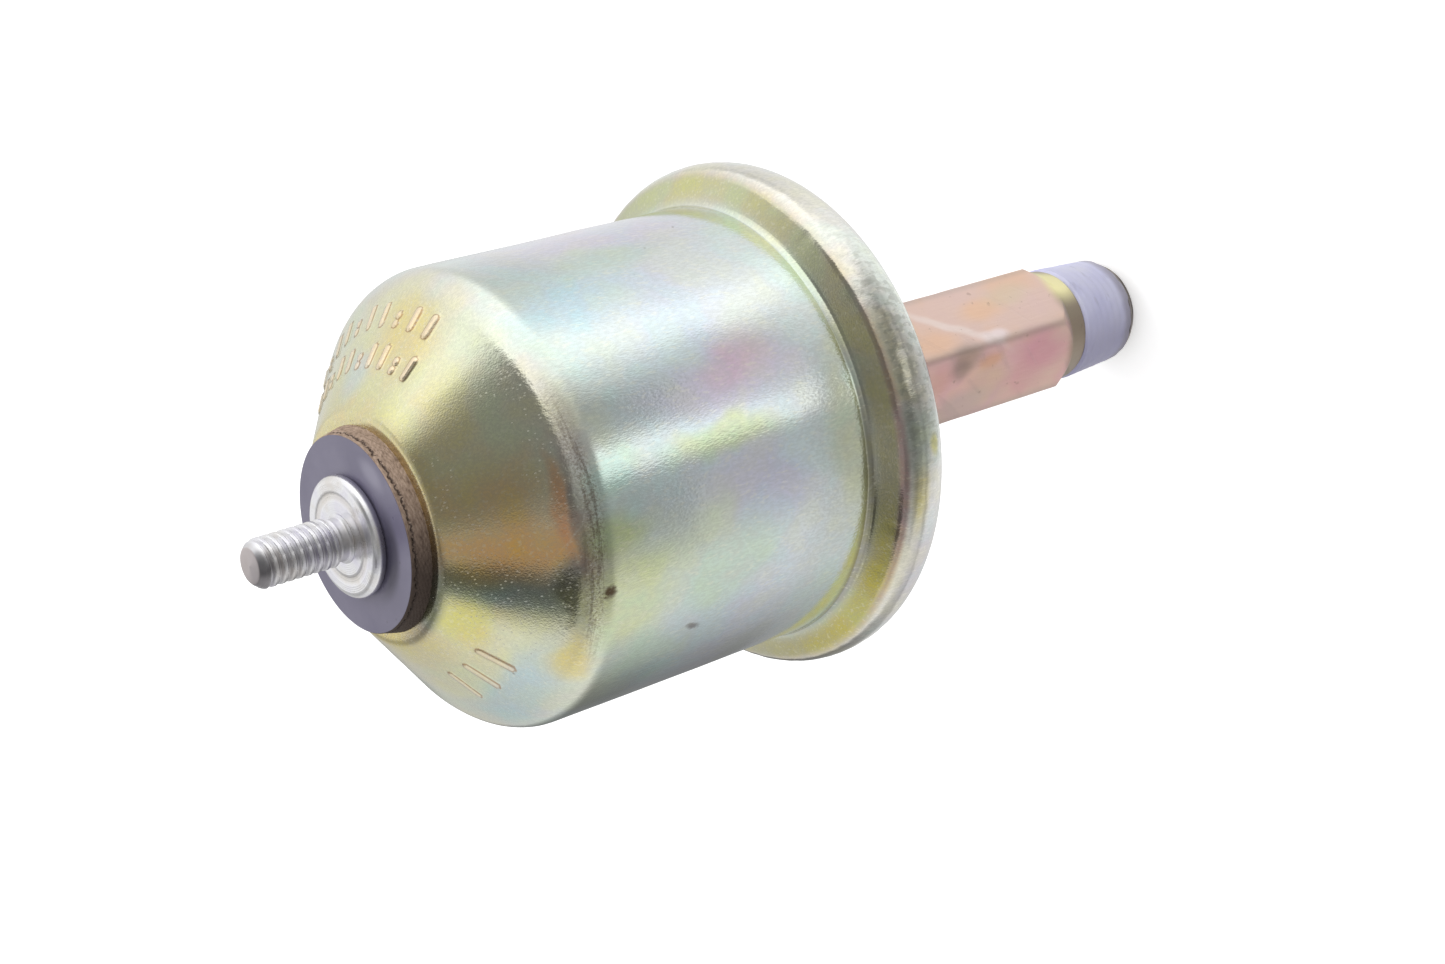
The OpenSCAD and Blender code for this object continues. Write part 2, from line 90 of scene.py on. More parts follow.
def arcLine(centre, radius, start, end, count):
    return ovalLine(centre, radius, radius, start, end, count)


def lengthAlong(line):
    # distance of each point from the first, measured along the line
    return np.concatenate([[0], np.cumsum(np.linalg.norm(np.diff(line, axis=0), axis=1))])


def filledLine(line, spacing, dense=()):
    # the same line with points added every so often; dense lists (from, to, spacing) stretches
    along = lengthAlong(line)
    extra = [np.arange(0, along[-1], spacing)]
    extra += [np.arange(start, end, step) for start, end, step in dense]
    places = np.union1d(along, np.concatenate(extra))
    places = places[np.append(True, np.diff(places) > 0.03)]
    return np.stack([np.interp(places, along, line[:, 0]), np.interp(places, along, line[:, 1])], 1)


def lineNormals(line):
    # unit normals, a quarter turn to the left of the way along
    slope = np.gradient(line, lengthAlong(line) + np.arange(len(line)) * 1e-9, axis=0)
    slope /= np.linalg.norm(slope, axis=1)[:, None]
    return np.stack([-slope[:, 1], slope[:, 0]], 1)


def turned(radius, height, angle):
    # a point at (radius cos angle, radius sin angle, height) for each row and column
    radius, height, angle = np.broadcast_arrays(radius, height, angle)
    return np.stack([radius * np.cos(angle), radius * np.sin(angle), height], -1)


def around(count):
    return np.arange(count)[None] * 2 * math.pi / count


def smoothStep(value, low, high):
    # 0 below low, 1 above high, and a cubic between them
    share = np.clip((value - low) / (high - low), 0, 1)
    return share * share * (3 - 2 * share)


def waves(angle, along, modes, seed):
    # sum of sines of (turns * angle + pace * along + phase), with whole turns so that it closes
    phases = np.random.default_rng(seed).uniform(0, 2 * math.pi, len(modes))
    total = 0
    for (turns, pace, height), phase in zip(modes, phases):
        total = total + height * np.sin(turns * angle + pace * along + phase)
    return total


def gridPiece(name, points, looped, marks=None, sharp=38):
    # faces between neighbouring rows and columns; rows close on themselves or end in a middle point
    rows, columns = points.shape[:2]
    ring = np.arange(columns)
    following = np.roll(ring, -1)
    low = np.arange(rows if looped else rows - 1)[:, None] * columns
    high = (low + columns) % (rows * columns)
    quads = np.stack([low + ring, low + following, high + following, high + ring], -1).reshape(-1, 4)
    vertices = points.reshape(-1, 3)
    caps = np.zeros((0, 3), int)
    if not looped:
        first, last = rows * columns, rows * columns + 1
        vertices = np.concatenate([vertices, points[[0, -1]].mean(1)])
        end = (rows - 1) * columns
        caps = np.concatenate([
            np.stack([np.full(columns, first), following, ring], 1),
            np.stack([np.full(columns, last), end + ring, end + following], 1),
        ])
    corners = [vertices[quads[:, k]] for k in range(3)]
    volume = (corners[0] * np.cross(corners[1], corners[2])).sum()
    if volume < 0:
        quads, caps = quads[:, ::-1], caps[:, ::-1]
    mesh = bpy.data.meshes.new(name)
    mesh.from_pydata((vertices * mm).tolist(), [], quads.tolist() + caps.tolist())
    for title, values in (marks or {}).items():
        flat = np.zeros(len(vertices), np.float32)
        flat[:rows * columns] = np.broadcast_to(values, (rows, columns)).ravel()
        mesh.attributes.new(title, "FLOAT", "POINT").data.foreach_set("value", flat)
    mesh.shade_smooth()
    mesh.set_sharp_from_angle(angle=sharp * degree)
    mesh.update()
    piece = bpy.data.objects.new(name, mesh)
    bpy.context.scene.collection.objects.link(piece)
    return piece


def fit(piece, body, node, material):
    piece.data.materials.append(material)
    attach(piece, body)
    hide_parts(node)


# Materials: sums of sockets become Math nodes

class Socket:
    # a node's output that takes part in sums
    def __init__(self, paint, link):
        self.paint = paint
        self.link = link

    def other(self, title):
        return Socket(self.paint, self.link.node.outputs[title])

    def __add__(self, value):
        return self.paint.sum("ADD", self, value)

    def __radd__(self, value):
        return self.paint.sum("ADD", value, self)

    def __sub__(self, value):
        return self.paint.sum("SUBTRACT", self, value)

    def __rsub__(self, value):
        return self.paint.sum("SUBTRACT", value, self)

    def __mul__(self, value):
        return self.paint.sum("MULTIPLY", self, value)

    def __rmul__(self, value):
        return self.paint.sum("MULTIPLY", value, self)

    def __truediv__(self, value):
        return self.paint.sum("DIVIDE", self, value)

    def __pow__(self, value):
        return self.paint.sum("POWER", self, value)

    def __abs__(self):
        return self.paint.sum("ABSOLUTE", self)


def colour(text):
    # "d8cfa8" as linear red, green, blue and 1
    parts = [int(text[k:k + 2], 16) / 255 for k in (0, 2, 4)]
    return [p / 12.92 if p <= 0.04045 else ((p + 0.055) / 1.055) ** 2.4 for p in parts] + [1]


class Paint:
    # one node tree, of a material or of the world
    def __init__(self, tree):
        self.tree = tree

    def feed(self, socket, value):
        if isinstance(value, Socket):
            self.tree.links.new(value.link, socket)
        elif isinstance(value, str):
            socket.default_value = colour(value)
        else:
            socket.default_value = value

    def node(self, kind, settings, values, output=0):
        made = self.tree.nodes.new(kind)
        for title, value in settings.items():
            if title == "stops":
                self.fillRamp(made.color_ramp, value)
            else:
                setattr(made, title, value)
        for title, value in values.items():
            self.feed(made.inputs[title], value)
        return Socket(self, made.outputs[output])

    def fillRamp(self, ramp, stops):
        for k, (place, tone) in enumerate(stops):
            element = ramp.elements[k] if k < 2 else ramp.elements.new(place)
            element.position = place
            element.color = colour(tone) if isinstance(tone, str) else [tone, tone, tone, 1]

    def sum(self, operation, *values):
        return self.node("ShaderNodeMath", {"operation": operation}, dict(enumerate(values)))

    def step(self, value, low, high):
        return self.node("ShaderNodeMapRange", {"interpolation_type": "SMOOTHSTEP"},
                         {"Value": value, "From Min": low, "From Max": high})

    def ramp(self, value, stops):
        return self.node("ShaderNodeValToRGB", {"stops": stops}, {"Fac": value})

    def mix(self, share, first, second, how="MIX"):
        return self.node("ShaderNodeMix", {"data_type": "RGBA", "blend_type": how},
                         {0: share, 6: first, 7: second}, 2)

    def noise(self, where, scale, detail=2, rough=0.5):
        return self.node("ShaderNodeTexNoise", {},
                         {"Vector": where, "Scale": scale, "Detail": detail, "Roughness": rough})

    def cells(self, where, scale, feature="F1"):
        return self.node("ShaderNodeTexVoronoi", {"feature": feature}, {"Vector": where, "Scale": scale})

    def stretched(self, where, x, y, z):
        return self.node("ShaderNodeVectorMath", {"operation": "MULTIPLY"}, {0: where, 1: (x, y, z)})


class Finish(Paint):
    # a material with its Principled shader and the piece's own coordinates
    def __init__(self, title, **fixed):
        self.material = bpy.data.materials.new(title)
        self.material.use_nodes = True
        super().__init__(self.material.node_tree)
        self.shader = self.tree.nodes["Principled BSDF"]
        for name, value in fixed.items():
            self.shader.inputs[name.replace("_", " ")].default_value = value
        self.place = self.node("ShaderNodeTexCoord", {}, {}, "Object")
        parts = self.node("ShaderNodeSeparateXYZ", {}, {"Vector": self.place})
        self.x, self.y, self.z = (parts.other(axis) / mm for axis in "XYZ")
        self.turn = self.sum("ARCTAN2", self.y, self.x) / degree
        self.reach = self.sum("SQRT", self.x * self.x + self.y * self.y)

    def attribute(self, title):
        return self.node("ShaderNodeAttribute", {"attribute_name": title}, {}, "Fac")

    def set(self, **values):
        for name, value in values.items():
            self.feed(self.shader.inputs[name.replace("_", " ")], value)

    def bump(self, height, distance, strength=1.0):
        normal = self.node("ShaderNodeBump", {},
                           {"Strength": strength, "Distance": distance, "Height": height}, "Normal")
        self.feed(self.shader.inputs["Normal"], normal)

    def streaks(self, along, slant, across, lengthways, level):
        # thin straight scratches at a slant to the axis, from noise drawn out one way
        arc = self.turn * self.reach * degree
        ahead = arc * math.sin(slant * degree) + along * math.cos(slant * degree)
        aside = arc * math.cos(slant * degree) - along * math.sin(slant * degree)
        flat = self.node("ShaderNodeCombineXYZ", {}, {0: aside * across, 1: ahead * lengthways, 2: slant})
        return self.step(self.noise(flat, 1, 1), level, level + 0.05)

    def patch(self, turn, along, turnAt, alongAt, turnWide, alongWide):
        # a soft oval: 1 in the middle, 0 past its edge
        across = (turn - turnAt) / turnWide
        down = (along - alongAt) / alongWide
        return 1 - self.step(self.sum("SQRT", across * across + down * down), 0.25, 1.0)


print("shape and material helpers ready")

# Camera: two angles of the axis to the view, and one turn of the hex
view = {
    "imageWidth": 1445, "imageHeight": 964,
    "towards": 36.787,      # the terminal end leans this far towards the camera
    "droop": 17.852,        # and points this far below the left edge
    "hexTurn": 3.1,         # a hex corner stands this far round from the camera
    "distance": 213.04,     # to the point of the axis that is aimed at
    "aimHeight": 53.2,      # that point's height over the hex's underside
    "aimPixel": (604.59, 458.70),
    "focalPixels": 2464.24, "sensor": 36.0,
}


def placeCamera():
    towards, droop = view["towards"] * degree, view["droop"] * degree
    right = np.array([math.sin(towards) * math.cos(droop), -math.sin(droop),
                      -math.cos(towards) * math.cos(droop)])
    up = np.array([math.sin(towards) * math.sin(droop), math.cos(droop),
                   -math.cos(towards) * math.sin(droop)])
    back = np.array([math.cos(towards), 0, math.sin(towards)])
    scale = view["distance"] / view["focalPixels"]
    offRight = (view["aimPixel"][0] - view["imageWidth"] / 2) * scale
    offUp = (view["imageHeight"] / 2 - view["aimPixel"][1]) * scale
    place = np.array([0, 0, view["aimHeight"]]) - right * offRight - up * offUp + back * view["distance"]
    turn = Matrix.Rotation(view["hexTurn"] * degree, 4, "Z")
    pose = Matrix([[right[k], up[k], back[k], place[k] * mm] for k in range(3)] + [[0, 0, 0, 1]])
    data = bpy.data.cameras.new("camera")
    data.sensor_width = view["sensor"]
    data.lens = view["focalPixels"] * view["sensor"] / view["imageWidth"]
    data.clip_start = 0.005
    camera = bpy.data.objects.new("camera", data)
    bpy.context.scene.collection.objects.link(camera)
    camera.matrix_world = turn @ pose
    bpy.context.scene.camera = camera


placeCamera()
print("camera placed")

# Light: a white room as the plating shows it; tones are listed by the direction round the axis
room = {
    "floorSize": 3.0, "full": 1.5, "rings": ((0.066, 0.078), (0.0835, 0.0900), (0.111, 0.123), (0.130, 0.300)),
    "underFloor": (
        (-180, 0.85), (-125, 0.70), (-100, 0.85), (-60, 1.02), (-30, 0.70), (0, 0.70), (30, 0.95),
        (60, 1.20), (100, 0.95), (180, 0.85),
    ),
    "nearFloor": (
        (-180, 0.60), (-150, 0.32), (-125, 0.40), (-100, 0.54), (-80, 0.70), (-60, 0.66), (-40, 0.54),
        (-20, 0.47), (0, 0.52), (22, 0.62), (42, 0.95), (60, 1.25), (78, 0.98), (100, 0.90), (180, 0.85),
    ),
    "midFloor": (
        (-180, 0.70), (-166, 0.34), (-150, 0.22), (-136, 0.24), (-120, 0.33), (-100, 0.54), (-80, 0.78),
        (-58, 0.84), (-46, 0.74), (-30, 0.60), (-11, 0.54), (-7, 0.66), (-4, 1.05), (3, 1.20), (8, 0.92),
        (13, 0.78), (32, 0.68), (41, 0.85), (48, 1.22), (57, 1.38), (67, 1.14), (78, 1.00), (90, 0.94),
        (106, 0.86), (125, 0.88), (145, 0.92), (180, 0.70),
    ),
    "cornerFloor": (
        (-180, 0.60), (-166, 0.26), (-150, 0.20), (-136, 0.19), (-120, 0.27), (-100, 0.56), (-80, 0.82),
        (-60, 0.82), (-46, 0.56), (-34, 0.42), (-20, 0.40), (-10, 0.50), (-5, 1.10), (3, 1.26), (8, 0.70),
        (14, 0.46), (26, 0.44), (34, 0.72), (42, 1.02), (50, 1.30), (60, 1.36), (74, 1.08), (90, 0.84),
        (106, 0.74), (125, 0.82), (145, 0.90), (180, 0.60),
    ),
    "farFloor": (
        (-180, 0.50), (-130, 0.75), (-100, 0.95), (-76, 0.82), (-60, 0.50), (-42, 0.32), (-20, 0.30),
        (0, 0.42), (16, 0.46), (30, 0.68), (44, 1.22), (80, 1.42), (102, 1.22), (126, 1.00), (180, 0.70),
    ),
    "lowSky": (
        (-180, 0.40), (-160, 0.38), (-148, 0.56), (-138, 0.72), (-124, 0.84), (-104, 0.84), (-85, 0.66),
        (-62, 0.36), (-42, 0.24), (-20, 0.36), (0, 0.50), (16, 0.54), (30, 0.70), (44, 1.22), (80, 1.42),
        (102, 1.22), (114, 1.12), (126, 0.97), (144, 0.95), (180, 0.75),
    ),
    "overhead": (
        (-180, 0.80), (-95, 0.74), (-68, 0.84), (-54, 0.82), (-48, 0.72), (-44, 0.46), (-40, 0.17),
        (-34, 0.105), (-30, 0.13), (-26, 0.40), (-14, 0.39), (-8, 0.25), (-2, 0.22), (12, 0.23),
        (22, 0.24), (28, 0.25), (33, 0.35), (38, 0.68), (44, 1.06), (54, 1.30), (63, 1.22), (74, 0.98),
        (90, 0.98), (180, 0.80),
    ),
    "zenith": (
        (-180, 0.60), (-95, 0.50), (-80, 0.56), (-68, 0.68), (-58, 0.64), (-50, 0.48), (-42, 0.34),
        (-34, 0.26), (-26, 0.24), (-14, 0.25), (-4, 0.28), (6, 0.33), (16, 0.38), (26, 0.42), (34, 0.50),
        (42, 0.64), (52, 0.80), (64, 0.92), (78, 0.96), (95, 0.96), (180, 0.80),
    ),
    "toCamera": 0.80, "zenithReach": (0.76, 0.86), "horizon": (0.12, 0.45), "skyEdge": (0.58, 0.74),
    "front": (-0.8, 0, 0.6), "frontTones": (0.42, 0.98), "frontSides": (-0.14, -0.03),
    "lightSide": (-0.36, 0.60, 0.58), "softLow": 0.34, "softHigh": 1.22,
    "lampPlace": (-0.30, 0.52, 0.62), "lampPower": 1.1, "lampSize": 0.5,
}


def roundTone(paint, title, x, y):
    # the room's brightness by the direction of (x, y) round the axis
    share = paint.sum("ARCTAN2", y, x) / (2 * math.pi) + 0.5
    stops = [((angle + 180) / 360, tone / room["full"]) for angle, tone in room[title]]
    return paint.ramp(share, stops)


def towards(paint, where, aim):
    # cosine between the direction and an aim
    aim = np.array(aim) / np.linalg.norm(aim)
    return paint.node("ShaderNodeVectorMath", {"operation": "DOT_PRODUCT"}, {0: where, 1: tuple(aim)}, "Value")


def grey(tone):
    return (tone / room["full"],) * 3 + (1,)


def makeWorld():
    world = bpy.data.worlds.new("room")
    world.use_nodes = True
    bpy.context.scene.world = world
    paint = Paint(world.node_tree)
    where = paint.node("ShaderNodeTexCoord", {}, {}, "Generated")
    parts = paint.node("ShaderNodeSeparateXYZ", {}, {"Vector": where})
    x, y, z = (parts.other(axis) for axis in "XYZ")
    sides = paint.mix(paint.step(z, *room["horizon"]),
                      roundTone(paint, "farFloor", x, y), roundTone(paint, "lowSky", x, y))
    ahead = x + room["toCamera"]
    reach = paint.sum("SQRT", ahead * ahead + y * y)
    above = paint.mix(paint.step(reach, *room["zenithReach"]),
                      roundTone(paint, "zenith", ahead, y), roundTone(paint, "overhead", ahead, y))
    tone = paint.mix(paint.step(z, *room["skyEdge"]), sides, above)
    front = paint.step(towards(paint, where, room["front"]), 0.80, 0.95)
    frontTone = paint.mix(paint.step(y, *room["frontSides"]), *(grey(tone) for tone in room["frontTones"]))
    tone = paint.mix(front, tone, frontTone)
    lit = paint.step(towards(paint, where, room["lightSide"]), -0.7, 0.9)
    soft = paint.mix(lit, grey(room["softLow"]), grey(room["softHigh"]))
    path = paint.node("ShaderNodeLightPath", {}, {}, "Is Camera Ray")
    shine = paint.mix(path.other("Is Glossy Ray"), soft, tone)
    shown = paint.mix(path, shine, grey(1))
    background = world.node_tree.nodes["Background"]
    paint.feed(background.inputs["Color"], shown)
    background.inputs["Strength"].default_value = room["full"]


def makeFloor():
    size = room["floorSize"] / 2
    level = cadBox[0][2]
    mesh = bpy.data.meshes.new("floor")
    corners = [(-size, -size, level), (size, -size, level), (size, size, level), (-size, size, level)]
    mesh.from_pydata(corners, [], [(0, 1, 2, 3)])
    floor = bpy.data.objects.new("floor", mesh)
    bpy.context.scene.collection.objects.link(floor)
    material = bpy.data.materials.new("floor_white")
    material.use_nodes = True
    paint = Paint(material.node_tree)
    where = paint.node("ShaderNodeTexCoord", {}, {}, "Object")
    parts = paint.node("ShaderNodeSeparateXYZ", {}, {"Vector": where})
    x, y = parts.other("X"), parts.other("Y")
    reach = paint.sum("SQRT", x * x + y * y)
    bands = roundTone(paint, "underFloor", x, y)
    for title, ring in zip(("nearFloor", "midFloor", "cornerFloor", "farFloor"), room["rings"]):
        bands = paint.mix(paint.step(reach, *ring), bands, roundTone(paint, title, x, y))
    path = paint.node("ShaderNodeLightPath", {}, {}, "Is Glossy Ray")
    shownMatt = paint.node("ShaderNodeBsdfDiffuse", {}, {"Color": (0.9, 0.9, 0.9, 1)})
    lift = paint.node("ShaderNodeEmission", {}, {"Color": (1, 1, 1, 1), "Strength": 0.42})
    shown = paint.node("ShaderNodeAddShader", {}, {0: shownMatt, 1: lift})
    bounce = paint.node("ShaderNodeBsdfDiffuse", {}, {"Color": (0.5, 0.5, 0.5, 1)})
    plain = paint.node("ShaderNodeMixShader", {}, {0: path.other("Is Camera Ray"), 1: bounce, 2: shown})
    mirrored = paint.node("ShaderNodeEmission", {}, {"Color": bands, "Strength": room["full"]})
    both = paint.node("ShaderNodeMixShader", {}, {0: path, 1: plain, 2: mirrored})
    output = material.node_tree.nodes["Material Output"]
    paint.feed(output.inputs["Surface"], both)
    mesh.materials.append(material)


def makeLamp(title, place, power, size):
    data = bpy.data.lights.new(title, "AREA")
    data.shape = "DISK"
    data.size = size
    data.energy = power
    lamp = bpy.data.objects.new(title, data)
    bpy.context.scene.collection.objects.link(lamp)
    place = np.array(place)
    back = place / np.linalg.norm(place)
    side = np.cross([0, 0, 1.0], back)
    side /= np.linalg.norm(side)
    up = np.cross(back, side)
    lamp.matrix_world = Matrix([[side[k], up[k], back[k], place[k]] for k in range(3)] + [[0, 0, 0, 1]])
    lamp.visible_glossy = False


makeWorld()
makeFloor()
makeLamp("key", room["lampPlace"], room["lampPower"], room["lampSize"])
bpy.context.scene.view_settings.view_transform = "Standard"
print("room lit")

# Can: drawn sheet steel, zinc plated, with its rim rolled under the base plate
can = {
    "holeR": 3.6, "flatR": 9.3, "topEdgeR": 1.2, "wallR": 19.7, "cornerR": 4.3, "cornerZ": 66.92,
    "filletR": 0.8, "shoulder": 66.0, "beadAcross": 1.35, "beadUp": 2.35, "bulgeZ": 36.8, "rimBotR": 2.2,
    "innerFilletR": 1.9, "innerFlangeZ": 38.7, "innerRimR": 0.8, "lipW": 3.5, "sheet": 0.9,
    "columns": 384,
    # marks in place of the stamped lines: bars and pips in two rows, and three strokes lower down
    "markTurns": np.arange(57, 128, 7.6), "markRows": (11.1, 14.8), "markWide": 0.44, "markTall": 0.80,
    "markHeight": 0.17, "strokeTurns": (-86, -74, -62), "strokeAt": 12.0, "strokeTall": 1.5, "strokeWide": 0.42,
    # slow hollows of the drawn sheet and the unevenness of the rolled rim: turns, pace, height
    "hollows": ((3, 0.21, 0.020), (5, -0.33, 0.014), (9, 0.17, 0.008), (14, 0.52, 0.005)),
    "rolled": ((23, 0.9, 0.012), (37, -1.7, 0.010), (58, 1.1, 0.008), (83, 2.3, 0.006)),
}


def coneNormal():
    # the cone touches the edge of the flat top and the corner, so its normal turns by their difference
    across = can["wallR"] - can["cornerR"] - can["flatR"]
    topZ = nodeBox("cover_can")[1][2]
    down = topZ - can["topEdgeR"] - can["cornerZ"]
    lean = math.acos((can["topEdgeR"] - can["cornerR"]) / math.hypot(across, down))
    return (math.atan2(-down, across) + lean) / degree


def rimOutside(rimR, rimZ):
    # fillet, then a shoulder that slopes to where the bead's normal leans as it does, then the bead
    wallR, filletR, lean = can["wallR"], can["filletR"], can["shoulder"] * degree
    across, up = can["beadAcross"], can["beadUp"]
    start = math.atan2(up * math.sin(lean), across * math.cos(lean)) / degree
    bead = ovalLine((rimR - across, can["bulgeZ"]), across, up, start, 0, 24)
    foot = wallR + filletR * (1 - math.cos(lean))
    footZ = bead[0, 1] + (bead[0, 0] - foot) / math.tan(lean)
    middle = (wallR + filletR, footZ + filletR * math.sin(lean))
    botR = can["rimBotR"]
    return np.concatenate([
        arcLine(middle, filletR, 180, 180 + can["shoulder"], 16), bead,
        ovalLine((rimR - botR, can["bulgeZ"]), botR, can["bulgeZ"] - rimZ, 0, -90, 24)[1:],
    ])


def rimInside(rimR, rimZ, depth):
    # round the clamped plates: a fillet, a flat, and a straight wall between two arcs
    wallR, flangeZ, topR = can["wallR"] - depth, can["innerFlangeZ"], can["innerRimR"]
    filletR, botR, wide = can["innerFilletR"], can["rimBotR"] - depth, rimR - depth
    return np.concatenate([
        arcLine((wallR + filletR, flangeZ + filletR), filletR, 180, 270, 8),
        arcLine((wide - topR, flangeZ - topR), topR, 90, 0, 8),
        arcLine((wide - botR, rimZ + depth + botR), botR, 0, -90, 8),
    ])


def canLine(depth):
    # section of the sheet, taken a depth below its outside
    low, high = nodeBox("cover_can")
    rimR, topZ, rimZ = high[0] - 0.012, high[2], low[2]
    cone = coneNormal()
    return np.concatenate([
        [[can["holeR"], topZ - depth]],
        arcLine((can["flatR"], topZ - can["topEdgeR"]), can["topEdgeR"] - depth, 90, cone, 9),
        arcLine((can["wallR"] - can["cornerR"], can["cornerZ"]), can["cornerR"] - depth, cone, 0, 22),
        rimInside(rimR, rimZ, depth) if depth else rimOutside(rimR, rimZ),
        [[rimR - can["lipW"], rimZ + depth]],
    ])


def bar(across, down, wide, tall):
    # raised bar with soft sides and round ends
    past = np.maximum(np.abs(down) - tall, 0)
    return 1 - smoothStep(np.hypot(across, past), wide * 0.35, wide)


def canMarks(turn, along, radius):
    # the bars and pips, as a height from 0 to 1
    total = 0
    for row, at in enumerate(can["markRows"]):
        for k, middle in enumerate(can["markTurns"]):
            across = (turn - middle - row * 2.1) * degree * radius
            pip = (k + 2 * row) % 3 == 1
            total = total + bar(across, along - at, can["markWide"], 0.05 if pip else can["markTall"])
            if pip:
                total = total + bar(across, along - at + 0.8, can["markWide"], 0.05)
    for middle in can["strokeTurns"]:
        across = (turn - middle) * degree * radius
        total = total + 0.7 * bar(across, along - can["strokeAt"], can["strokeWide"], can["strokeTall"])
    return np.minimum(total, 1)


def makeCan(material):
    outer = filledLine(canLine(0), 0.9, [(9.6, 16.8, 0.22)])
    inner = filledLine(canLine(can["sheet"]), 3.0)[::-1]
    along = lengthAlong(outer)[:, None]
    angle = around(can["columns"])
    turn = (angle / degree + 180) % 360 - 180
    marks = canMarks(turn, along, outer[:, :1])
    rim = smoothStep(along, 48.3, 49.6) * (1 - smoothStep(along, 53, 55))
    body = smoothStep(along, 8.5, 11) * (1 - smoothStep(along, 46, 47.5))
    lift = marks * can["markHeight"] - np.abs(waves(angle, along, can["hollows"], 3)) * body
    lift = lift - np.abs(waves(angle, along, can["rolled"], 5)) * rim
    normal = lineNormals(outer)
    outside = turned(outer[:, :1] - normal[:, :1] * -lift, outer[:, 1:] + normal[:, 1:] * lift, angle)
    inside = turned(inner[:, :1], inner[:, 1:], angle)
    points = np.concatenate([outside, inside])
    rows = len(inner)
    length = np.concatenate([along, np.full((rows, 1), along[-1, 0])])
    raised = np.concatenate([marks, np.zeros((rows, can["columns"]))])
    piece = gridPiece("can_shell", points, True, {"along": length, "raised": raised})
    fit(piece, "housing", "cover_can", material)


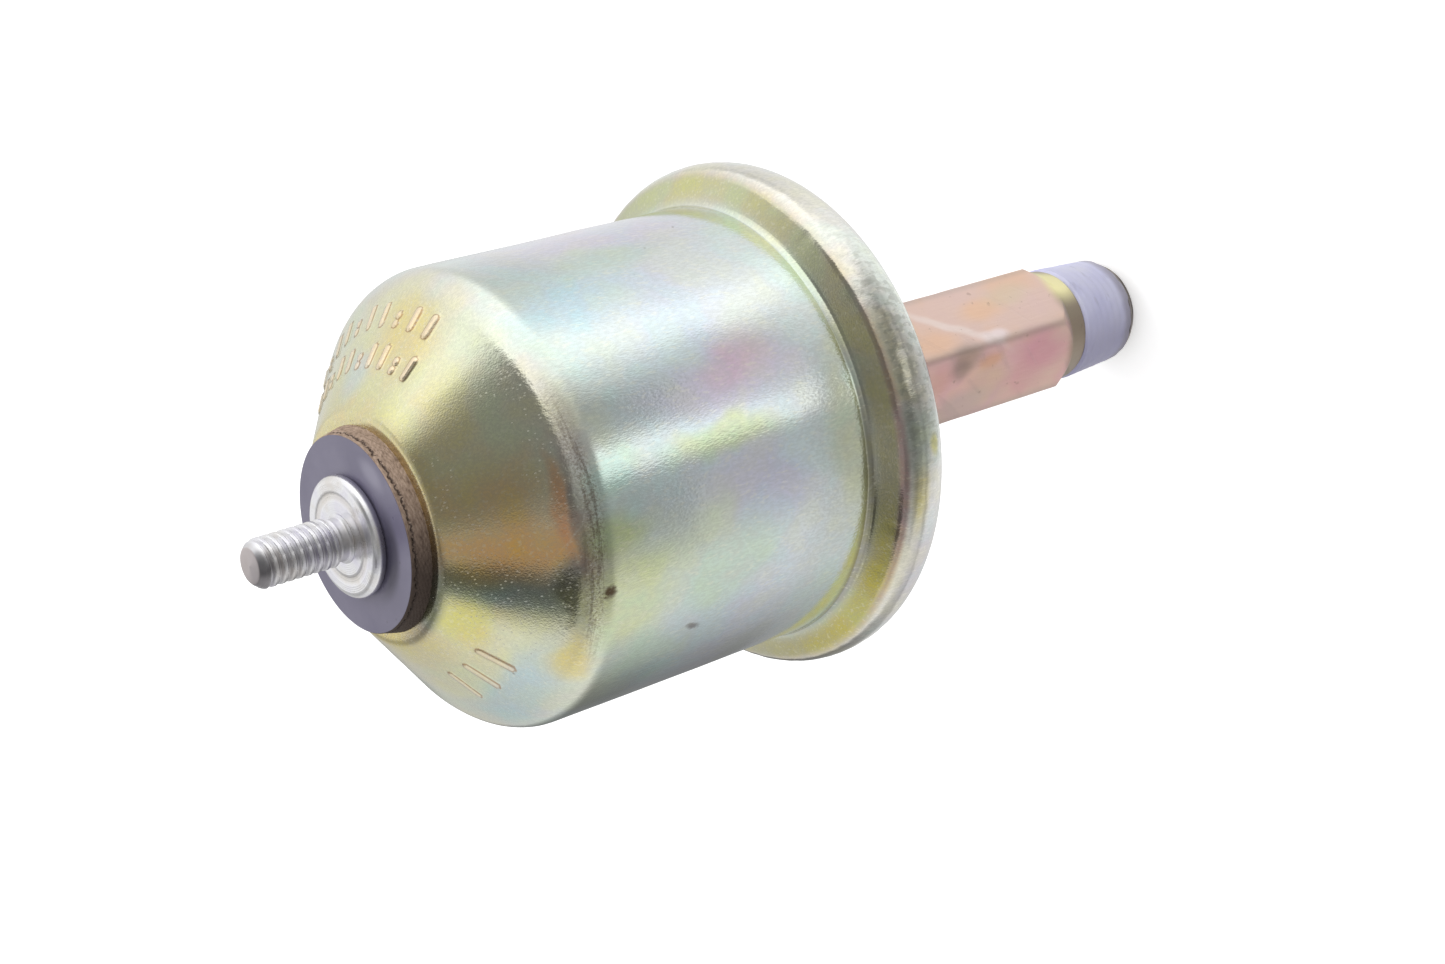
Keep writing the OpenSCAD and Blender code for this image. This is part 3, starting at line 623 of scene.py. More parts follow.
def canPlating():
    paint = Finish("can_plating", Metallic=1.0)
    along = paint.attribute("along")
    raised = paint.attribute("raised")
    cloud = paint.noise(paint.place, 75, 3)
    drift = paint.noise(paint.place, 150, 2).other("Color")
    shiftTurn = paint.node("ShaderNodeSeparateColor", {}, {"Color": drift}, "Red")
    shiftAlong = shiftTurn.other("Green")
    body = paint.step(along, 7, 12) * (1 - paint.step(along, 42, 46))
    turn = paint.turn + (shiftTurn - 0.5) * 16
    down = along + (shiftAlong - 0.5) * 6 * body
    tint = paint.ramp(down / 58, [(at / 58, tone) for at, tone in (
        (5, "e2cf86"), (7, "e6dc98"), (9.5, "e9e4ac"), (13, "e8edc0"), (17, "e6e8c8"), (18.0, "e2e2cc"),
        (18.8, "dee2d4"), (19.8, "dce8d8"), (23, "d8ebe4"), (28, "d9e8e8"), (34, "d9e2eb"), (39, "dbe7ea"),
        (43, "deeae4"), (45.0, "dfece6"), (46.6, "dcebe0"), (47.6, "d4dcbe"), (48.3, "cdcc9c"),
        (49.6, "cccb98"), (50.3, "d8d0b8"), (51.0, "e8e8da"), (53.5, "dfe2d8"), (56.5, "d6d6ce"),
    )])
    for tone, share, turnAt, alongAt, turnWide, alongWide in (
        ("f6bb50", 0.95, -17, 12.5, 15, 11),      # gold streak down the cone
        ("f2a24e", 0.80, -5, 16.9, 19, 1.2),      # and orange round the corner
        ("ecca7c", 0.8, 0, 11, 20, 8),
        ("a8c4bc", 0.70, -34, 12, 8, 8),          # teal before the streak
        ("6c8684", 0.75, -27, 17.0, 9, 2.2),
        ("8c6440", 0.70, -14, 18.0, 28, 0.8),
        # painted shade, partly a dark tarnish: nearly black beside the streak
        ("4e4c42", 0.75, -30, 17.2, 16, 1.9),     # nearly black beside it
        ("a08672", 0.50, -14, 18.9, 34, 1.3),     # dull brown where the corner is rubbed
        ("b4b4a4", 0.35, 14, 18.9, 14, 1.6),
        ("dcd0e4", 0.9, 13, 34, 11, 12),          # pink and lilac on the wall
        ("e6bccc", 0.55, 14, 35, 7, 5),
        ("d0d2e8", 0.7, -16, 36, 12, 8),
        ("dcd8ea", 0.8, 72, 34, 26, 18),          # lilac towards the far edge
        ("d8eca8", 0.8, -1, 33, 6, 9),            # yellow-green along the narrow light
        ("c4ecd8", 0.6, -1, 22, 6, 3.5),
        ("dce8a0", 0.7, -35, 21.5, 18, 7),        # yellow below the corner
        ("cbe296", 0.8, -16, 21, 9, 4),
        ("d2e4c4", 0.7, -30, 31, 18, 9),
        ("c0dcdf", 0.9, -72, 15.6, 36, 4.2),      # pale blue at the foot of the cone
        ("ecde5c", 0.85, -48, 8.6, 20, 2.8),       # yellow round the washer
        ("e8d660", 0.8, -49, 17.6, 12, 2.6),      # and at the corner
        ("d8c878", 0.5, 28, 6.5, 40, 1.2),
        # painted shadow of the washer on the cone
        ("5c5a48", 0.80, -46, 5.6, 60, 1.5),      # in the washer's shade
        # painted dark reflection along the fillet of the rim
        ("74745e", 0.75, -36, 47.3, 66, 0.9),     # dark line in the fillet of the rim
        ("c8e6da", 0.8, -56, 25, 14, 8),
        ("c6e6f0", 0.8, 42, 26, 12, 9),           # sky blue beside the white band
        ("cbe8d2", 0.7, 54, 32, 9, 8),
        ("efdc8c", 0.8, 66, 13, 22, 5),           # yellow by the marks
        ("d8e0d8", 0.8, 88, 10, 14, 4),
        ("dae296", 0.45, -10, 45.4, 30, 2.6),
        ("ccc23c", 0.95, -62, 49.2, 40, 1.8),     # strong yellow in the hollow of the rim
        ("ccd088", 0.60, 66, 49.2, 44, 1.4),
        ("b8928a", 0.8, -22, 50.3, 50, 0.7),     # pink-brown line where the bead begins
        ("d2ca70", 0.8, -26, 51.9, 14, 1.2),
        # painted dark reflection on the front of the bead
        ("868870", 0.75, -2, 52.0, 30, 2.4),
        ("c4c2c8", 0.7, -46, 53.2, 26, 2.2),
        ("d8cc50", 0.8, -14, 53.6, 4, 0.9),
    ):
        spot = paint.patch(turn, down, turnAt, alongAt, turnWide, alongWide)
        tint = paint.mix(spot * share, tint, tone)
    film = paint.ramp(paint.noise(paint.place, 150, 3, 0.6), [
        (0.30, "e8e09a"), (0.42, "ead6b6"), (0.50, "dccbdc"), (0.58, "c6dce6"), (0.70, "d0e8c4")])
    tint = paint.mix(0.2, tint, film)
    # the raised marks are painted pale, partly rubbed plating and partly a painted highlight; their sloped sides are
    # painted brown as painted shade
    outline = paint.step(raised, 0.05, 0.25) * (1 - paint.step(raised, 0.35, 0.6))
    tint = paint.mix(raised * 0.8, tint, "fce4c6")
    tint = paint.mix(outline * 0.7, tint, "a0744a")
    speckle = paint.noise(paint.place, 2600, 2)
    sand = paint.noise(paint.stretched(paint.place, 1, 1, 0.4), 4600, 1)
    tint = paint.mix(paint.step(sand, 0.35, 0.62) * 0.20, tint, "b4b6ae")
    flakes = paint.step(paint.noise(paint.stretched(paint.place, 1, 1, 0.38), 3300, 1), 0.60, 0.68)
    tint = paint.mix(flakes * 0.22, tint, "f6f4dc")
    # worn corner, mostly below the stud
    nearCorner = paint.step(abs(along - 18.6 - (cloud - 0.5) * 3), 1.3, 0.3)
    rubbed = paint.noise(paint.place, 5200, 3, 0.7)
    nearCorner = nearCorner * paint.patch(paint.turn, along, -14, 18.6, 44, 5)
    worn = nearCorner * paint.step(rubbed, 0.46, 0.60)
    tint = paint.mix(worn * 0.6, tint, "86766a")
    drawn = paint.node("ShaderNodeCombineXYZ", {}, {0: paint.turn * 0.07, 1: along * 2.6})
    lines = nearCorner * paint.step(paint.noise(drawn, 1, 2), 0.50, 0.58)
    tint = paint.mix(lines * 0.38, tint, "5e4836")
    tint = paint.mix(nearCorner * paint.step(rubbed, 0.44, 0.34) * 0.4, tint, "ece8ee")
    # pale dust, dark pits and hair scratches
    fleck = paint.cells(paint.stretched(paint.place, 1, 1.5, 0.8), 2300)
    chance = paint.node("ShaderNodeSeparateColor", {}, {"Color": fleck.other("Color")}, "Red")
    dust = paint.step(fleck, 0.30, 0.14) * paint.step(chance, 0.40, 0.46) * (1 - paint.step(along, 17, 21))
    dust = dust * paint.step(paint.noise(paint.place, 130, 2), 0.40, 0.52)
    hole = paint.cells(paint.place, 430)
    often = paint.node("ShaderNodeSeparateColor", {}, {"Color": hole.other("Color")}, "Red")
    pits = paint.step(hole, 0.085, 0.03) * paint.step(often, 0.80, 0.86)
    pits = pits * paint.step(paint.noise(paint.place, 90, 2), 0.48, 0.58)
    scratch = paint.streaks(along, 38, 2.6, 0.14, 0.70) * 0.7 + paint.streaks(along, -61, 3.0, 0.10, 0.72)
    tint = paint.mix(pits * 0.6, tint, "7b6a58")
    ragged = (speckle - 0.5) * 2
    rust = paint.patch(paint.turn + ragged, along + ragged * 0.4, -29.3, 19.7, 2.4, 0.8)
    scrape = paint.patch(paint.turn + ragged, along + (paint.turn + 48.4) * 0.35, -48.4, 29.2, 1.8, 0.9)
    tint = paint.mix(rust * 0.9, tint, "5d4334")
    tint = paint.mix(scrape * 0.7, tint, "746a66")
    tint = paint.mix(scratch * 0.12, tint, "f6f4ee")
    tint = paint.mix(dust * 0.36, tint, "ecebe2")
    grain = paint.noise(paint.stretched(paint.place, 1, 1, 0.4), 7400, 1, 0.5)
    peel = paint.noise(paint.place, 1100, 2)
    rim = paint.step(along, 50.4, 51.2)
    hammered = paint.patch(paint.turn, along, 4, 52.0, 40, 5) * rim
    hammer = paint.cells(paint.place, 1300, "SMOOTH_F1") * hammered
    mottle = paint.step(paint.noise(paint.stretched(paint.place, 1, 1, 0.6), 1900, 2), 0.46, 0.62)
    tint = paint.mix(mottle * hammered * 0.45, tint, "8e9084")
    flat = 1 - paint.step(along, 5.6, 7.2)
    dents = paint.noise(paint.place, 1700, 2) * paint.step(abs(along - 17.4), 2.2, 0.8)
    rough = 0.12 + (peel - 0.5) * 0.06 + worn * 0.12 + flat * 0.12 + hammered * 0.05
    rough = rough + rust * 0.4 + pits * 0.3 + dust * 0.3
    paint.set(Base_Color=tint, Roughness=rough)
    relief = grain * 0.30 + sand * 0.05 + peel * 0.08 - pits + worn * 0.1 + hammer * 0.5 + dents * 0.8
    paint.bump(relief, 0.00003)
    return paint.material


makeCan(canPlating())
print("can made")

# Terminal stud: collar with a pressed ring, and a machine thread with 32 turns to the inch
stud = {
    "crestR": 2.083, "pitch": 25.4 / 32, "depth": 0.36, "neckR": 1.78, "neckLength": 1.0,
    "collarR": 5.12, "collarZ": 78.64, "collarTop": 79.86, "edgeR": 0.58, "ringR": 3.5, "ringW": 0.30,
    "ringDeep": 0.045, "tip": 0.85, "tipFall": 0.62, "columns": 120,
}


def makeStud(material):
    low, high = nodeBox("terminal_stud")
    bottom, top = low[2], high[2]
    edge, collarR = stud["edgeR"], stud["collarR"]
    foot = np.array([[0.3, bottom], [2.9, bottom], [3.3, bottom + 0.42], [3.3, bottom + 0.85],
                     [stud["crestR"], bottom + 0.85], [stud["crestR"], stud["collarZ"]]])
    collar = np.concatenate([
        arcLine((collarR - edge, stud["collarZ"] + edge), edge, -90, 0, 8),
        arcLine((collarR - edge, stud["collarTop"] - edge), edge, 0, 90, 10),
    ])
    face = np.stack([np.linspace(collarR - edge, stud["neckR"], 60)[1:], np.full(59, stud["collarTop"])], 1)
    away = np.abs(face[:, 0] - stud["ringR"])
    face[:, 1] -= stud["ringDeep"] * (1 - smoothStep(away, stud["ringW"] * 0.5, stud["ringW"] * 1.6))
    # the thread: radius falls from crest to root with a rounded triangle of (height / pitch - turn)
    height = np.arange(stud["collarTop"] + 0.02, top, stud["pitch"] / 16)[:, None]
    angle = around(stud["columns"])
    phase = (height / stud["pitch"] - angle / (2 * math.pi)) % 1
    tooth = smoothStep(1 - np.abs(2 * phase - 1), 0.05, 0.72)
    startZ = stud["collarTop"] + stud["neckLength"] * np.array([0.75, 1.35])
    start = smoothStep(height, *startZ)
    root = stud["crestR"] - stud["depth"]
    radius = stud["neckR"] * (1 - start) + (root + (stud["crestR"] - root) * tooth) * start
    fillet = 0.35 * (1 - smoothStep(height, stud["collarTop"], stud["collarTop"] + 0.35)) ** 2
    radius = radius + fillet
    # the tip rounds over: its limit falls with the square of the way into it
    into = np.maximum(height - (top - stud["tip"]), 0) / stud["tip"]
    tipLimit = stud["crestR"] - stud["tipFall"] * into ** 1.6 - 0.02
    radius = np.minimum(radius, tipLimit)
    tipR = stud["crestR"] - stud["tipFall"]
    cap = np.array([[tipR - 0.06, top - 0.02], [tipR - 0.14, top], [0.3, top]])
    plain = np.concatenate([foot, collar, face])
    points = np.concatenate([
        turned(plain[:, :1], plain[:, 1:], angle), turned(radius, height, angle),
        turned(cap[:, :1], cap[:, 1:], angle),
    ])
    piece = gridPiece("stud_turned", points, False, sharp=50)
    fit(piece, "housing", "terminal_stud", material)


def studPlating():
    paint = Finish("stud_plating", Metallic=1.0)
    cloud = paint.noise(paint.place, 420, 3)
    fine = paint.noise(paint.place, 5200, 2)
    tint = paint.ramp(cloud, [(0.3, "e6e4ee"), (0.5, "efeff1"), (0.7, "e6e2de")])
    ring = 1 - paint.step(abs(paint.reach - stud["ringR"]), 0.1, 0.5)
    onFace = paint.step(paint.z, stud["collarTop"] - 0.25, stud["collarTop"] - 0.1)
    onFace = onFace * (1 - paint.step(paint.z, stud["collarTop"] + 0.01, stud["collarTop"] + 0.03))
    tint = paint.mix(ring * onFace * 0.35, tint, "d2c8b8")
    # painted shade in the thread's roots above the collar
    root = 1 - paint.step(paint.reach, 1.68, 1.98)
    above = paint.step(paint.z, stud["collarTop"] + 0.05, stud["collarTop"] + 0.3)
    tint = paint.mix(root * above * 0.3, tint, "a8a4aa")
    tip = paint.step(paint.z, 88.1, 88.18)
    tint = paint.mix(tip * 0.7, tint, "cfc4c2")
    # painted shade: the stud's lower side is darker, and darkest on the tip's chamfer
    shadedSide = paint.patch(paint.turn, 0, -50, 0, 95, 1)
    shade = paint.step(paint.z, 87.1, 87.6) * paint.step(paint.reach, 1.40, 1.55) * shadedSide
    tint = paint.mix(shadedSide * above * 0.35, tint, "908c90")
    tint = paint.mix(shade * 0.8, tint, "6e6a6c")
    turning = paint.sum("SINE", paint.reach * 38)
    paint.set(Base_Color=tint, Roughness=0.20 + cloud * 0.12 + root * above * 0.1 + tip * 0.15)
    paint.bump(turning * 0.10 * onFace + fine * 0.5 + cloud * 0.8, 0.000012)
    return paint.material


makeStud(studPlating())
print("stud made")

# Fibre washer: punched, so its edge is smooth for a fifth and torn for the rest
washer = {"boreR": 2.2, "topR": 8.3, "baseR": 8.7, "shear": 0.22, "tear": 0.16, "columns": 420}


def shearLine(angle):
    # share of the thickness at which the smooth cut ends, round the edge
    return washer["shear"] + waves(angle, 0, ((7, 0, 0.02), (19, 0, 0.02), (43, 0, 0.022), (90, 0, 0.02)), 11)


def makeWasher(material):
    low, high = nodeBox("terminal_washer")
    baseZ, topZ = low[2], high[2]
    share = np.linspace(0, 1, 44)[:, None]      # down the edge, from the upper face
    angle = around(washer["columns"])
    height = topZ + (baseZ - topZ) * share
    radius = washer["topR"] + (washer["baseR"] - washer["topR"]) * share
    past = share - shearLine(angle)
    broken = smoothStep(waves(angle, 0, ((31, 0, 0.4), (67, 0, 0.4), (103, 0, 0.4)), 2), -0.5, 0.5)
    groove = np.exp(-(past / 0.035) ** 2) * broken
    torn = smoothStep(past, 0, 0.05)
    fibres = 0.5 + waves(angle, share * 30, ((60, 1.3, 0.16), (97, -0.7, 0.16), (140, 0.4, 0.14)), 4)
    radius = radius - washer["tear"] * np.clip(groove, 0, 1) - (1 - torn) * 0.02
    radius = radius - torn * 0.07 * np.clip(fibres, 0, 1)
    soft = 0.06 * (1 - smoothStep(share, 0, 0.06)) ** 2
    radius = radius - soft
    topFace = np.linspace(washer["boreR"], washer["topR"] - 0.12, 24)[:, None]
    baseFace = np.linspace(washer["baseR"] - 0.1, washer["boreR"], 12)[:, None]
    points = np.concatenate([
        turned(topFace, topZ, angle), turned(radius, height, angle), turned(baseFace, baseZ, angle),
    ])
    downEdge = np.concatenate([
        np.full((24, washer["columns"]), -1.0), past, np.full((12, washer["columns"]), 1.0),
    ])
    downEdge[24] = -0.8
    piece = gridPiece("washer_fibre", points, True, {"past": downEdge})
    fit(piece, "housing", "terminal_washer", material)


def fibreSheet():
    paint = Finish("fibre")
    past = paint.attribute("past")
    cloud = paint.noise(paint.place, 260, 3)
    strands = paint.noise(paint.stretched(paint.place, 1, 1, 3.5), 1500, 3, 0.65)
    face = paint.ramp(cloud, [(0.3, "686479"), (0.55, "706c80"), (0.75, "787487")])
    specks = paint.step(paint.cells(paint.place, 900), 0.16, 0.06) * paint.step(cloud, 0.52, 0.6)
    face = paint.mix(specks * 0.4, face, "4c4654")
    edge = paint.ramp(strands, [(0.3, "7e6858"), (0.48, "aa9280"), (0.62, "bda491"), (0.78, "d2c0ae")])
    onEdge = paint.step(past, -0.60, -0.35)
    ragged = paint.noise(paint.stretched(paint.place, 1, 1, 0.5), 3200, 2)
    inTear = paint.step(past + (ragged - 0.5) * 0.20, -0.04, 0.0)
    inTear = inTear * (1 - paint.step(past + (ragged - 0.5) * 0.4, 0.05, 0.14))
    inTear = inTear * paint.step(ragged, 0.36, 0.5)
    # painted shade: the edge is darker on its lower side, and a painted shadow of the collar lies on the face beside it
    shadedEdge = paint.patch(paint.turn, 0, -60, 0, 92, 1) * onEdge
    edge = paint.mix(shadedEdge * 0.92, edge, "372a24")
    collarShadow = paint.patch(paint.turn, paint.reach, -28, 5.7, 60, 1.3)
    face = paint.mix(collarShadow * 0.8, face, "3a3746")
    # painted reflection of the collar: a paler patch on the face beyond it
    sheen = paint.patch(paint.turn, paint.reach, 38, 6.9, 20, 1.2)
    face = paint.mix(sheen * 0.35, face, "a9a6b6")
    tone = paint.mix(onEdge, face, edge)
    tone = paint.mix(inTear * 0.85, tone, "2e2019")
    paint.set(Base_Color=tone, Roughness=0.30 + onEdge * 0.45 + (cloud - 0.5) * 0.1)
    paint.bump(strands * onEdge + cloud * 0.15, 0.00008)
    return paint.material


makeWasher(fibreSheet())
print("washer made")

# Nipple: hex bar, turned shank, taper pipe thread with 27 turns to the inch
nipple = {
    "flats": 12.0, "hexTop": 32.0, "chamfer": 0.55, "shankR": 5.5, "shankZ": -2.5, "threadR": 5.14,
    "taper": 0.03125, "tip": 0.8, "pitch": 25.4 / 27, "depth": 0.6, "boreR": 1.5, "plugR": 2.4, "plugDeep": 5.2,
    "spigotR": 4.2, "headR": 5.3, "plateTop": 36.5, "columns": 300, "edge": 38,
}


def hexRadius(angle):
    # flats / 2 over the soft maximum of the cosines to the six sides, which rounds the corners
    sides = (np.arange(6)[:, None, None] * 60 + 30) * degree
    facing = np.clip(np.cos(angle[None] - sides), 0, 1) ** nipple["edge"]
    return nipple["flats"] / 2 / facing.sum(0) ** (1 / nipple["edge"])


def makeNipple(material):
    low, high = nodeBox("hex_nipple")
    tipZ, topZ = low[2], high[2]
    angle = around(nipple["columns"])
    corner = nipple["flats"] / 2 / math.cos(30 * degree)
    height = np.concatenate([
        np.linspace(0, 1.5, 24), np.linspace(1.7, nipple["hexTop"] - 1.3, 50),
        np.linspace(nipple["hexTop"] - 1, nipple["hexTop"], 20),
    ])[:, None]
    ends = corner - 1.7 * nipple["chamfer"]
    turnedR = ends + np.minimum(height * 0.5, (nipple["hexTop"] - height) * 1.5)
    hexR = np.minimum(hexRadius(angle), turnedR) - 0.01
    dents = np.clip(waves(angle, height, ((6, 0.4, 0.012), (12, 0.9, 0.01), (18, 1.7, 0.008)), 8), 0, 1)
    hexR = hexR - dents
    threadH = np.arange(tipZ + 0.02, nipple["shankZ"], nipple["pitch"] / 12)[:, None]
    phase = (threadH / nipple["pitch"] - angle / (2 * math.pi)) % 1
    tooth = smoothStep(1 - np.abs(2 * phase - 1), 0.06, 0.9)
    crest = nipple["threadR"] + nipple["taper"] * (threadH - nipple["shankZ"])
    tipLimit = crest - np.maximum(nipple["tip"] - (threadH - tipZ), 0) * 0.95
    runOut = smoothStep(threadH, nipple["shankZ"] - 0.6, nipple["shankZ"])
    threadR = crest - nipple["depth"] * (1 - tooth) * (1 - runOut)
    threadR = np.minimum(threadR, tipLimit)
    plate = nipple["plateTop"]
    # the shank widens towards the hex
    shank = np.array([[5.2, nipple["shankZ"]], [nipple["shankR"] - 0.08, nipple["shankZ"] + 0.08],
                      [nipple["shankR"] - 0.02, nipple["shankZ"] + 0.3], [nipple["shankR"] + 0.12, -1.2],
                      [nipple["shankR"] + 0.34, -0.4], [nipple["shankR"] + 0.40, -0.04]])
    top = np.array([[4.9, nipple["hexTop"]], [nipple["spigotR"], nipple["hexTop"]], [nipple["spigotR"], plate],
                    [nipple["headR"] - 0.15, plate], [nipple["headR"], plate + 0.2],
                    [nipple["headR"] - 0.2, topZ], [nipple["boreR"] + 0.2, topZ], [nipple["boreR"], topZ - 0.2],
                    [nipple["boreR"], tipZ + nipple["plugDeep"]], [nipple["plugR"], tipZ + nipple["plugDeep"]],
                    [nipple["plugR"], tipZ + 0.25], [nipple["plugR"] + 0.2, tipZ]])
    end = np.array([[4.0, tipZ]])
    points = np.concatenate([
        turned(end[:, :1], end[:, 1:], angle), turned(threadR, threadH, angle),
        turned(shank[:, :1], shank[:, 1:], angle), turned(hexR, height, angle),
        turned(top[:, :1], top[:, 1:], angle),
    ])
    piece = gridPiece("nipple_turned", points, True, sharp=30)
    fit(piece, "housing", "hex_nipple", material)


def nipplePlating():
    paint = Finish("nipple_plating", Metallic=0.7)
    cloud = paint.noise(paint.place, 120, 3)
    blot = paint.noise(paint.stretched(paint.place, 1, 1, 0.6), 190, 3)
    upper = paint.ramp(cloud, [(0.34, "e2c6be"), (0.48, "e4c8bc"), (0.62, "e8c6b0")])
    lower = paint.ramp(blot, [(0.36, "e6c0b0"), (0.47, "e2b8b6"), (0.56, "e2bcb2"), (0.66, "e2c8b6")])
    tone = paint.mix(paint.step(paint.turn, -3, 3), lower, upper)
    grain = paint.noise(paint.stretched(paint.place, 1, 1, 0.15), 2600, 2)
    wander = paint.turn + (blot - 0.5) * 14
    level = paint.z + (cloud - 0.5) * 6
    for tint, share, turnAt, levelAt, turnWide, levelWide in (
        ("f0c49a", 0.55, 32, 10, 18, 4),          # orange and pale rubs over the edge
        ("eec4a4", 0.50, 13, 17.5, 16, 4),
        ("dccdb0", 0.50, 40, 6, 18, 4),
        ("f6eaee", 0.70, 4, 10.6, 9, 2.2),
        ("d89ca8", 0.75, -20, 4.8, 28, 5.4),      # mauve, brown and bare below it
        ("d8a0a6", 0.50, -42, 6.8, 20, 3.5),
        ("dca67c", 0.55, -16, 11.8, 11, 1.8),
        ("8a7a70", 0.50, -8, 15.0, 18, 3.6),
        ("86766c", 0.45, -17, 15.8, 14, 2.2),
        ("d8a09a", 0.45, -20, 18.8, 18, 2.6),
        ("d2b8a0", 0.50, -34, 11.5, 20, 4),
        ("c2b4aa", 0.60, -50, 15, 18, 7),
    ):
        spot = paint.patch(wander, level, turnAt, levelAt, turnWide, levelWide)
        tone = paint.mix(spot * share, tone, tint)
    slanted = paint.patch(wander - (level - 15) * 6.1, level, 25, 15, 9, 7)
    tone = paint.mix(slanted * 0.45, tone, "f6ece8")
    # pale scuffs across the flats, and a duller grey line along the edges
    scuff = paint.streaks(paint.z, 52, 0.7, 0.10, 0.62)
    tone = paint.mix(scuff * 0.08, tone, "f6ece8")
    tone = paint.mix(paint.step(paint.reach, 6.52, 6.84) * 0.32, tone, "a89e96")
    pits = paint.step(paint.noise(paint.place, 1300, 2), 0.68, 0.76)
    tone = paint.mix(pits * 0.3, tone, "b09a8c")
    # the neck is olive-brown, with a painted yellow highlight on its upper side
    neck = paint.step(paint.z + (cloud - 0.5) * 1.4, 1.4, -0.4)
    neckHighlight = paint.patch(paint.turn, paint.z, 44, -1, 34, 6)
    tone = paint.mix(neck * 0.9, tone, paint.mix(neckHighlight, "8e836e", "f4eeb0"))
    bare = paint.step(paint.z, -9.0, -9.4)
    tone = paint.mix(bare * 0.9, tone, "a09a98")
    paint.set(Base_Color=tone, Roughness=0.34 + cloud * 0.12 + pits * 0.1 + scuff * 0.1)
    paint.bump(grain * 0.7 + cloud * 2 - pits * 0.6 - scuff * 0.1, 0.00004)
    return paint.material


makeNipple(nipplePlating())

# Sealant: a dried white coat that half hides the thread under it
sealant = {
    "top": 0.5, "end": 0.28, "columns": 260, "rows": 90,
    "smears": ((2, 0.5, 0.02), (5, -0.9, 0.02), (9, 1.9, 0.012), (17, 3.1, 0.008)),
}


def makeSealant(material):
    low, high = nodeBox("thread_sealant")
    endZ, topZ = low[2], high[2]
    angle = around(sealant["columns"])
    share = np.linspace(0, 1, sealant["rows"])[:, None]
    ragged = 0.16 + waves(angle, 0, ((5, 0, 0.05), (11, 0, 0.05), (23, 0, 0.04)), 6)
    lowEdge = endZ + np.clip(ragged, 0.01, 1)
    highEdge = topZ - np.clip(0.05 + waves(angle, 0, ((4, 0, 0.03), (9, 0, 0.03)), 9), 0.005, 1)
    height = lowEdge + (highEdge - lowEdge) * share
    crest = nipple["threadR"] + nipple["taper"] * (height - nipple["shankZ"])
    coat = sealant["end"] + (sealant["top"] - sealant["end"]) * share
    phase = 2 * math.pi * (height / nipple["pitch"]) - angle
    ridges = 0.035 * (0.5 - 0.5 * np.cos(phase)) * (1 - 0.5 * share)
    smear = np.clip(waves(angle, height, sealant["smears"], 14), 0, 1)
    ends = np.minimum(smoothStep(share, 0, 0.05), 1 - smoothStep(share, 0.96, 1) * 0.7)
    radius = crest + (coat - ridges - smear - 0.015) * (0.25 + 0.75 * ends)
    under = turned(crest - 0.45, height, angle)[::-9]
    points = np.concatenate([turned(radius, height, angle), under])
    piece = gridPiece("sealant_coat", points, True, sharp=60)
    fit(piece, "housing", "thread_sealant", material)


def driedSealant():
    paint = Finish("sealant")
    cloud = paint.noise(paint.place, 240, 4)
    streak = paint.noise(paint.stretched(paint.place, 1, 1, 3), 500, 2)
    tone = paint.ramp(cloud, [(0.3, "d8d8fa"), (0.5, "e2e2ff"), (0.72, "e8e8fc")])
    tone = paint.mix(paint.step(streak, 0.60, 0.75) * 0.35, tone, "bcbad0")
    # painted shade: the coat's lower side is darker
    shadedSide = paint.patch(paint.turn, 0, -62, 0, 75, 1)
    tone = paint.mix(shadedSide * 0.60, tone, "a19cbe")
    grime = paint.step(paint.z + (cloud - 0.5) * 1.2, -8.0, -9.2)
    tone = paint.mix(grime * 0.7, tone, "9a94a0")
    paint.set(Base_Color=tone, Roughness=0.46 + cloud * 0.1)
    paint.bump(cloud * 0.8 + streak * 0.4, 0.0001)
    return paint.material


makeSealant(driedSealant())
print("nipple and sealant made")


# Back of the housing: base plate with its boss, and the plug in the mouth of the passage
plate = {
    "spigotR": 4.2, "hexTop": 32.0, "bossR": 9.0, "bossEdge": 0.6, "bottom": 34.5, "top": 36.5,
    "outerR": 21.95, "bevel": 1.3, "columns": 256,
}


def makeBasePlate(material):
    edge = plate["bossEdge"]
    line = np.concatenate([
        [[plate["spigotR"], plate["top"]], [plate["spigotR"], plate["hexTop"]]],
        arcLine((plate["bossR"] - edge, plate["hexTop"] + edge), edge, -90, 0, 8),
        arcLine((plate["bossR"] + edge, plate["bottom"] - edge), edge, 180, 90, 8),
        [[plate["outerR"] - plate["bevel"], plate["bottom"]],
         [plate["outerR"], plate["bottom"] + plate["bevel"]], [plate["outerR"], plate["top"]]],
    ])
    line = filledLine(line, 0.6)
    angle = around(plate["columns"])
    flat = smoothStep(line[:, :1], plate["bossR"] + 1, plate["bossR"] + 2) * (line[:, 1:] < plate["bottom"] + 0.01)
    lift = np.abs(waves(angle, line[:, :1], ((4, 0.5, 0.015), (7, -0.8, 0.01), (15, 1.4, 0.006)), 21)) * flat
    points = turned(line[:, :1], line[:, 1:] + lift, angle)
    piece = gridPiece("base_turned", points, True, sharp=30)
    fit(piece, "housing", "base_plate", material)


def basePlating():
    paint = Finish("base_plating", Metallic=1.0, Roughness=0.32)
    cloud = paint.noise(paint.place, 110, 3)
    fine = paint.noise(paint.place, 2400, 2)
    rings = paint.sum("SINE", paint.reach * 22 + cloud * 4)
    tint = paint.ramp(cloud, [(0.28, "c9d6d4"), (0.42, "d9dcb4"), (0.56, "dccf90"), (0.72, "d2a890")])
    grime = paint.step(abs(paint.reach - plate["bossR"] - 0.3), 1.3, 0.2) * paint.step(fine, 0.35, 0.7)
    tint = paint.mix(grime * 0.6, tint, "776a58")
    paint.set(Base_Color=tint, Roughness=0.28 + cloud * 0.14 + grime * 0.2)
    paint.bump(fine * 0.7 + rings * 0.18 + cloud, 0.00003)
    return paint.material


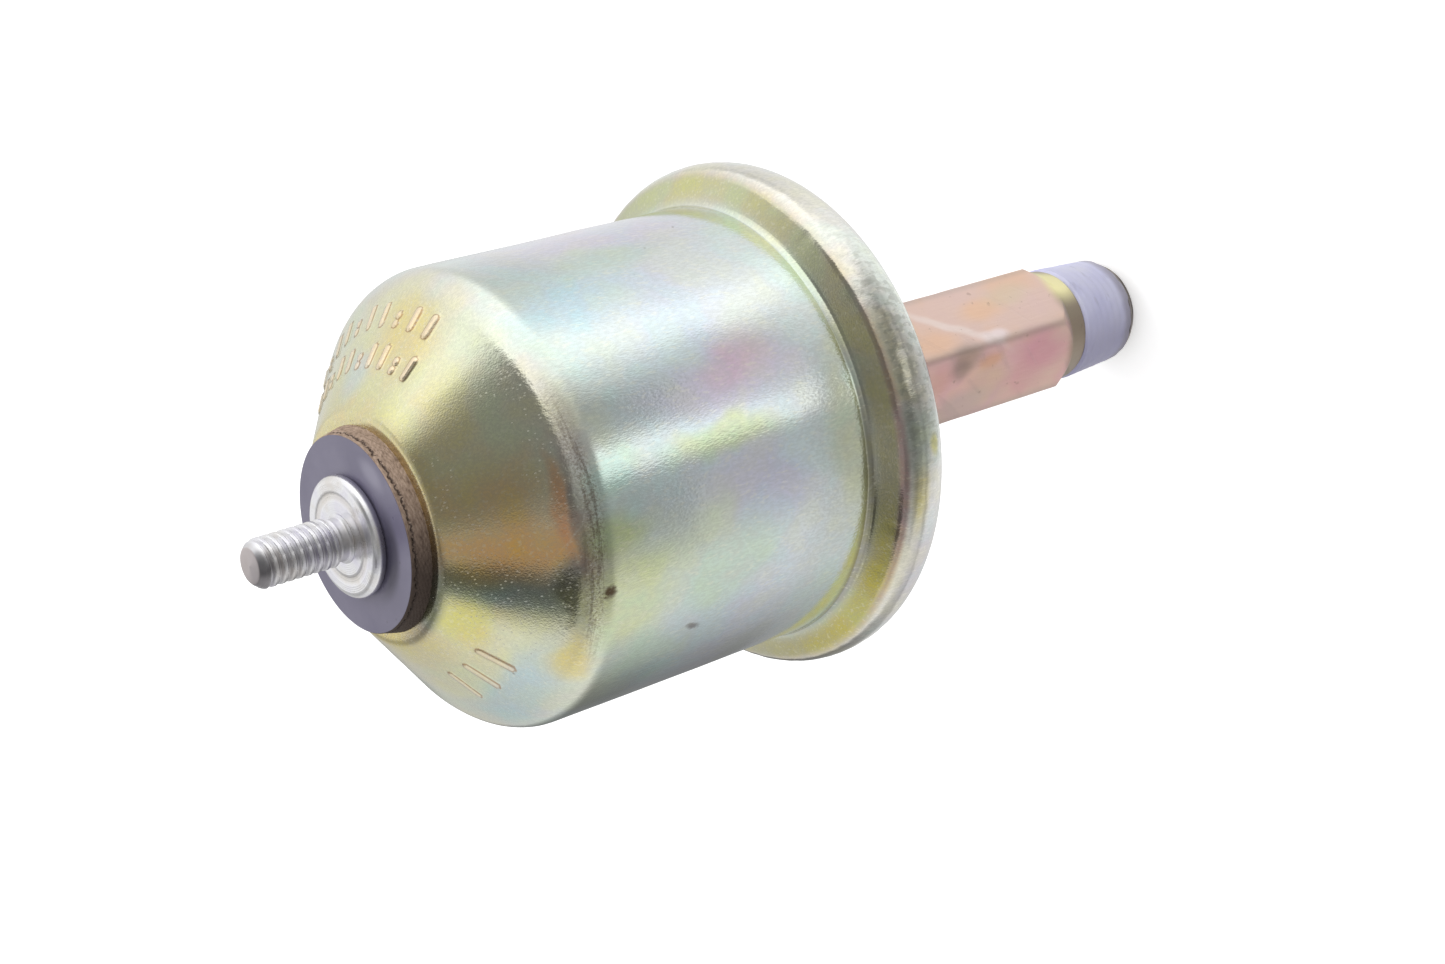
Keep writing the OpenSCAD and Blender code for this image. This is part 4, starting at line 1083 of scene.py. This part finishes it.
def makePlug(material):
    low, high = nodeBox("snubber_plug")
    outer = high[0] - 0.01
    line = np.array([[0.6, low[2]], [outer - 0.25, low[2]], [outer, low[2] + 0.25], [outer, high[2] - 0.2],
                     [outer - 0.2, high[2]], [0.5, high[2]], [0.45, high[2] - 0.1], [0.45, low[2] + 0.15]])
    line = filledLine(line, 0.3)
    angle = around(96)
    piece = gridPiece("plug_turned", turned(line[:, :1], line[:, 1:], angle), True, sharp=30)
    fit(piece, "housing", "snubber_plug", material)


def turnedMetal(title, light, dark, roughness):
    # plain metal of a turned or pressed inner piece, with fine tool marks and a few dull clouds
    paint = Finish(title, Metallic=1.0, Roughness=roughness)
    cloud = paint.noise(paint.place, 500, 3)
    marks = paint.noise(paint.stretched(paint.place, 1, 1, 0.2), 4200, 2)
    tint = paint.ramp(cloud, [(0.3, dark), (0.62, light)])
    paint.set(Base_Color=tint, Roughness=roughness + (cloud - 0.5) * 0.16)
    paint.bump(marks * 0.6 + cloud, 0.00002)
    return paint.material


def plainSheet(title, light, dark, roughness):
    # moulded or laminated inner piece, mottled
    paint = Finish(title, Roughness=roughness)
    cloud = paint.noise(paint.place, 900, 4, 0.6)
    tint = paint.ramp(cloud, [(0.32, dark), (0.66, light)])
    paint.set(Base_Color=tint, Roughness=roughness + (cloud - 0.5) * 0.2)
    paint.bump(cloud, 0.00004)
    return paint.material


brass = turnedMetal("brass", "d9b978", "b8924e", 0.3)
makeBasePlate(basePlating())
makePlug(brass)
print("back of the housing made")

# Works inside: spring and diaphragm are remade as smooth pieces, the rest are the solids with their finish
spring = {"wireR": 0.2, "coils": 3, "turnSteps": 48, "sides": 14, "travel": 1.2}
film = {"thick": 0.2, "bottom": 37.5, "rippleIn": 5.5, "rippleOut": 15.6, "rippleH": 0.25, "ripples": 3, "columns": 120,
        "clampR": 17.5}


def makeSpring(material):
    # the wire's circle is carried along a helix: the coil radius plus cosine, and sine, of the circle's angle
    low, high = nodeBox("return_spring")
    wireR = spring["wireR"]
    coilR = high[0] - wireR
    steps = spring["coils"] * spring["turnSteps"]
    turn = np.linspace(0, 2 * math.pi * spring["coils"], steps + 1)[:, None]
    round_ = around(spring["sides"])
    radius = coilR + wireR * np.cos(round_)
    rise = (high[2] - low[2] - 2 * wireR) * turn / turn[-1]
    height = low[2] + wireR + rise + wireR * np.sin(round_)
    points = np.stack([radius * np.cos(turn), radius * np.sin(turn), height], -1)
    piece = gridPiece("spring_wound", points, False)
    fit(piece, "housing", "return_spring", material)
    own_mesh(piece)


def makeDiaphragm(material):
    # height of each ring: bottom plus half the ripple's height times (1 - cosine), and the sheet's thickness
    outer = nodeBox("diaphragm")[1][0]
    radius = np.union1d(np.linspace(0.4, outer, 40), np.linspace(film["rippleIn"], film["rippleOut"], 60))[:, None]
    share = np.clip((radius - film["rippleIn"]) / (film["rippleOut"] - film["rippleIn"]), 0, 1)
    lift = film["rippleH"] * (1 - np.cos(2 * math.pi * film["ripples"] * share)) / 2
    low = film["bottom"] + lift
    angle = around(film["columns"])
    points = np.concatenate([turned(radius, low, angle), turned(radius, low + film["thick"], angle)[::-1]])
    piece = gridPiece("diaphragm_rippled", points, False)
    piece.data.materials.append(material)
    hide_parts("diaphragm")
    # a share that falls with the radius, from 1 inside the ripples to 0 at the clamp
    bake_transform(piece)
    places = np.zeros(len(piece.data.vertices) * 3, np.float32)
    piece.data.vertices.foreach_get("co", places)
    reach = np.hypot(*places.reshape(-1, 3)[:, :2].T) / mm
    follows = 1 - smoothStep(reach, film["rippleIn"], film["clampR"])


springSteel = turnedMetal("spring_steel", "a4a6aa", "85878c", 0.3)
innerSteel = turnedMetal("inner_steel", "c6c8cc", "a2a5ab", 0.32)
bronze = turnedMetal("spring_bronze", "d8ac70", "b88a50", 0.28)
contact = turnedMetal("contact_silver", "e6e3dc", "cbc7bd", 0.16)
wire = turnedMetal("resistance_wire", "c4bfae", "9f9a8a", 0.35)
laminate = plainSheet("phenolic", "7c5434", "5c3a22", 0.5)
rubber = plainSheet("seal_rubber", "26262a", "161618", 0.6)
innerFinish = {
    "inner_insulator": laminate, "contact_leaf": bronze, "seal_ring": rubber, "bridge_plate": innerSteel,
    "plunger": innerSteel, "bracket": innerSteel, "bracket_rivets": innerSteel, "pivot_pin": springSteel,
    "lever": innerSteel, "zero_screw": brass, "wiper_leaf": bronze, "wiper_rivet": innerSteel,
    "wiper_contact": contact, "resistor_card": laminate, "resistor_winding": wire, "card_clip": brass,
}
for node, material in innerFinish.items():
    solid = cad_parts[node]
    solid.data.materials.clear()
    solid.data.materials.append(material)
makeSpring(springSteel)
makeDiaphragm(bronze)
print("works made")
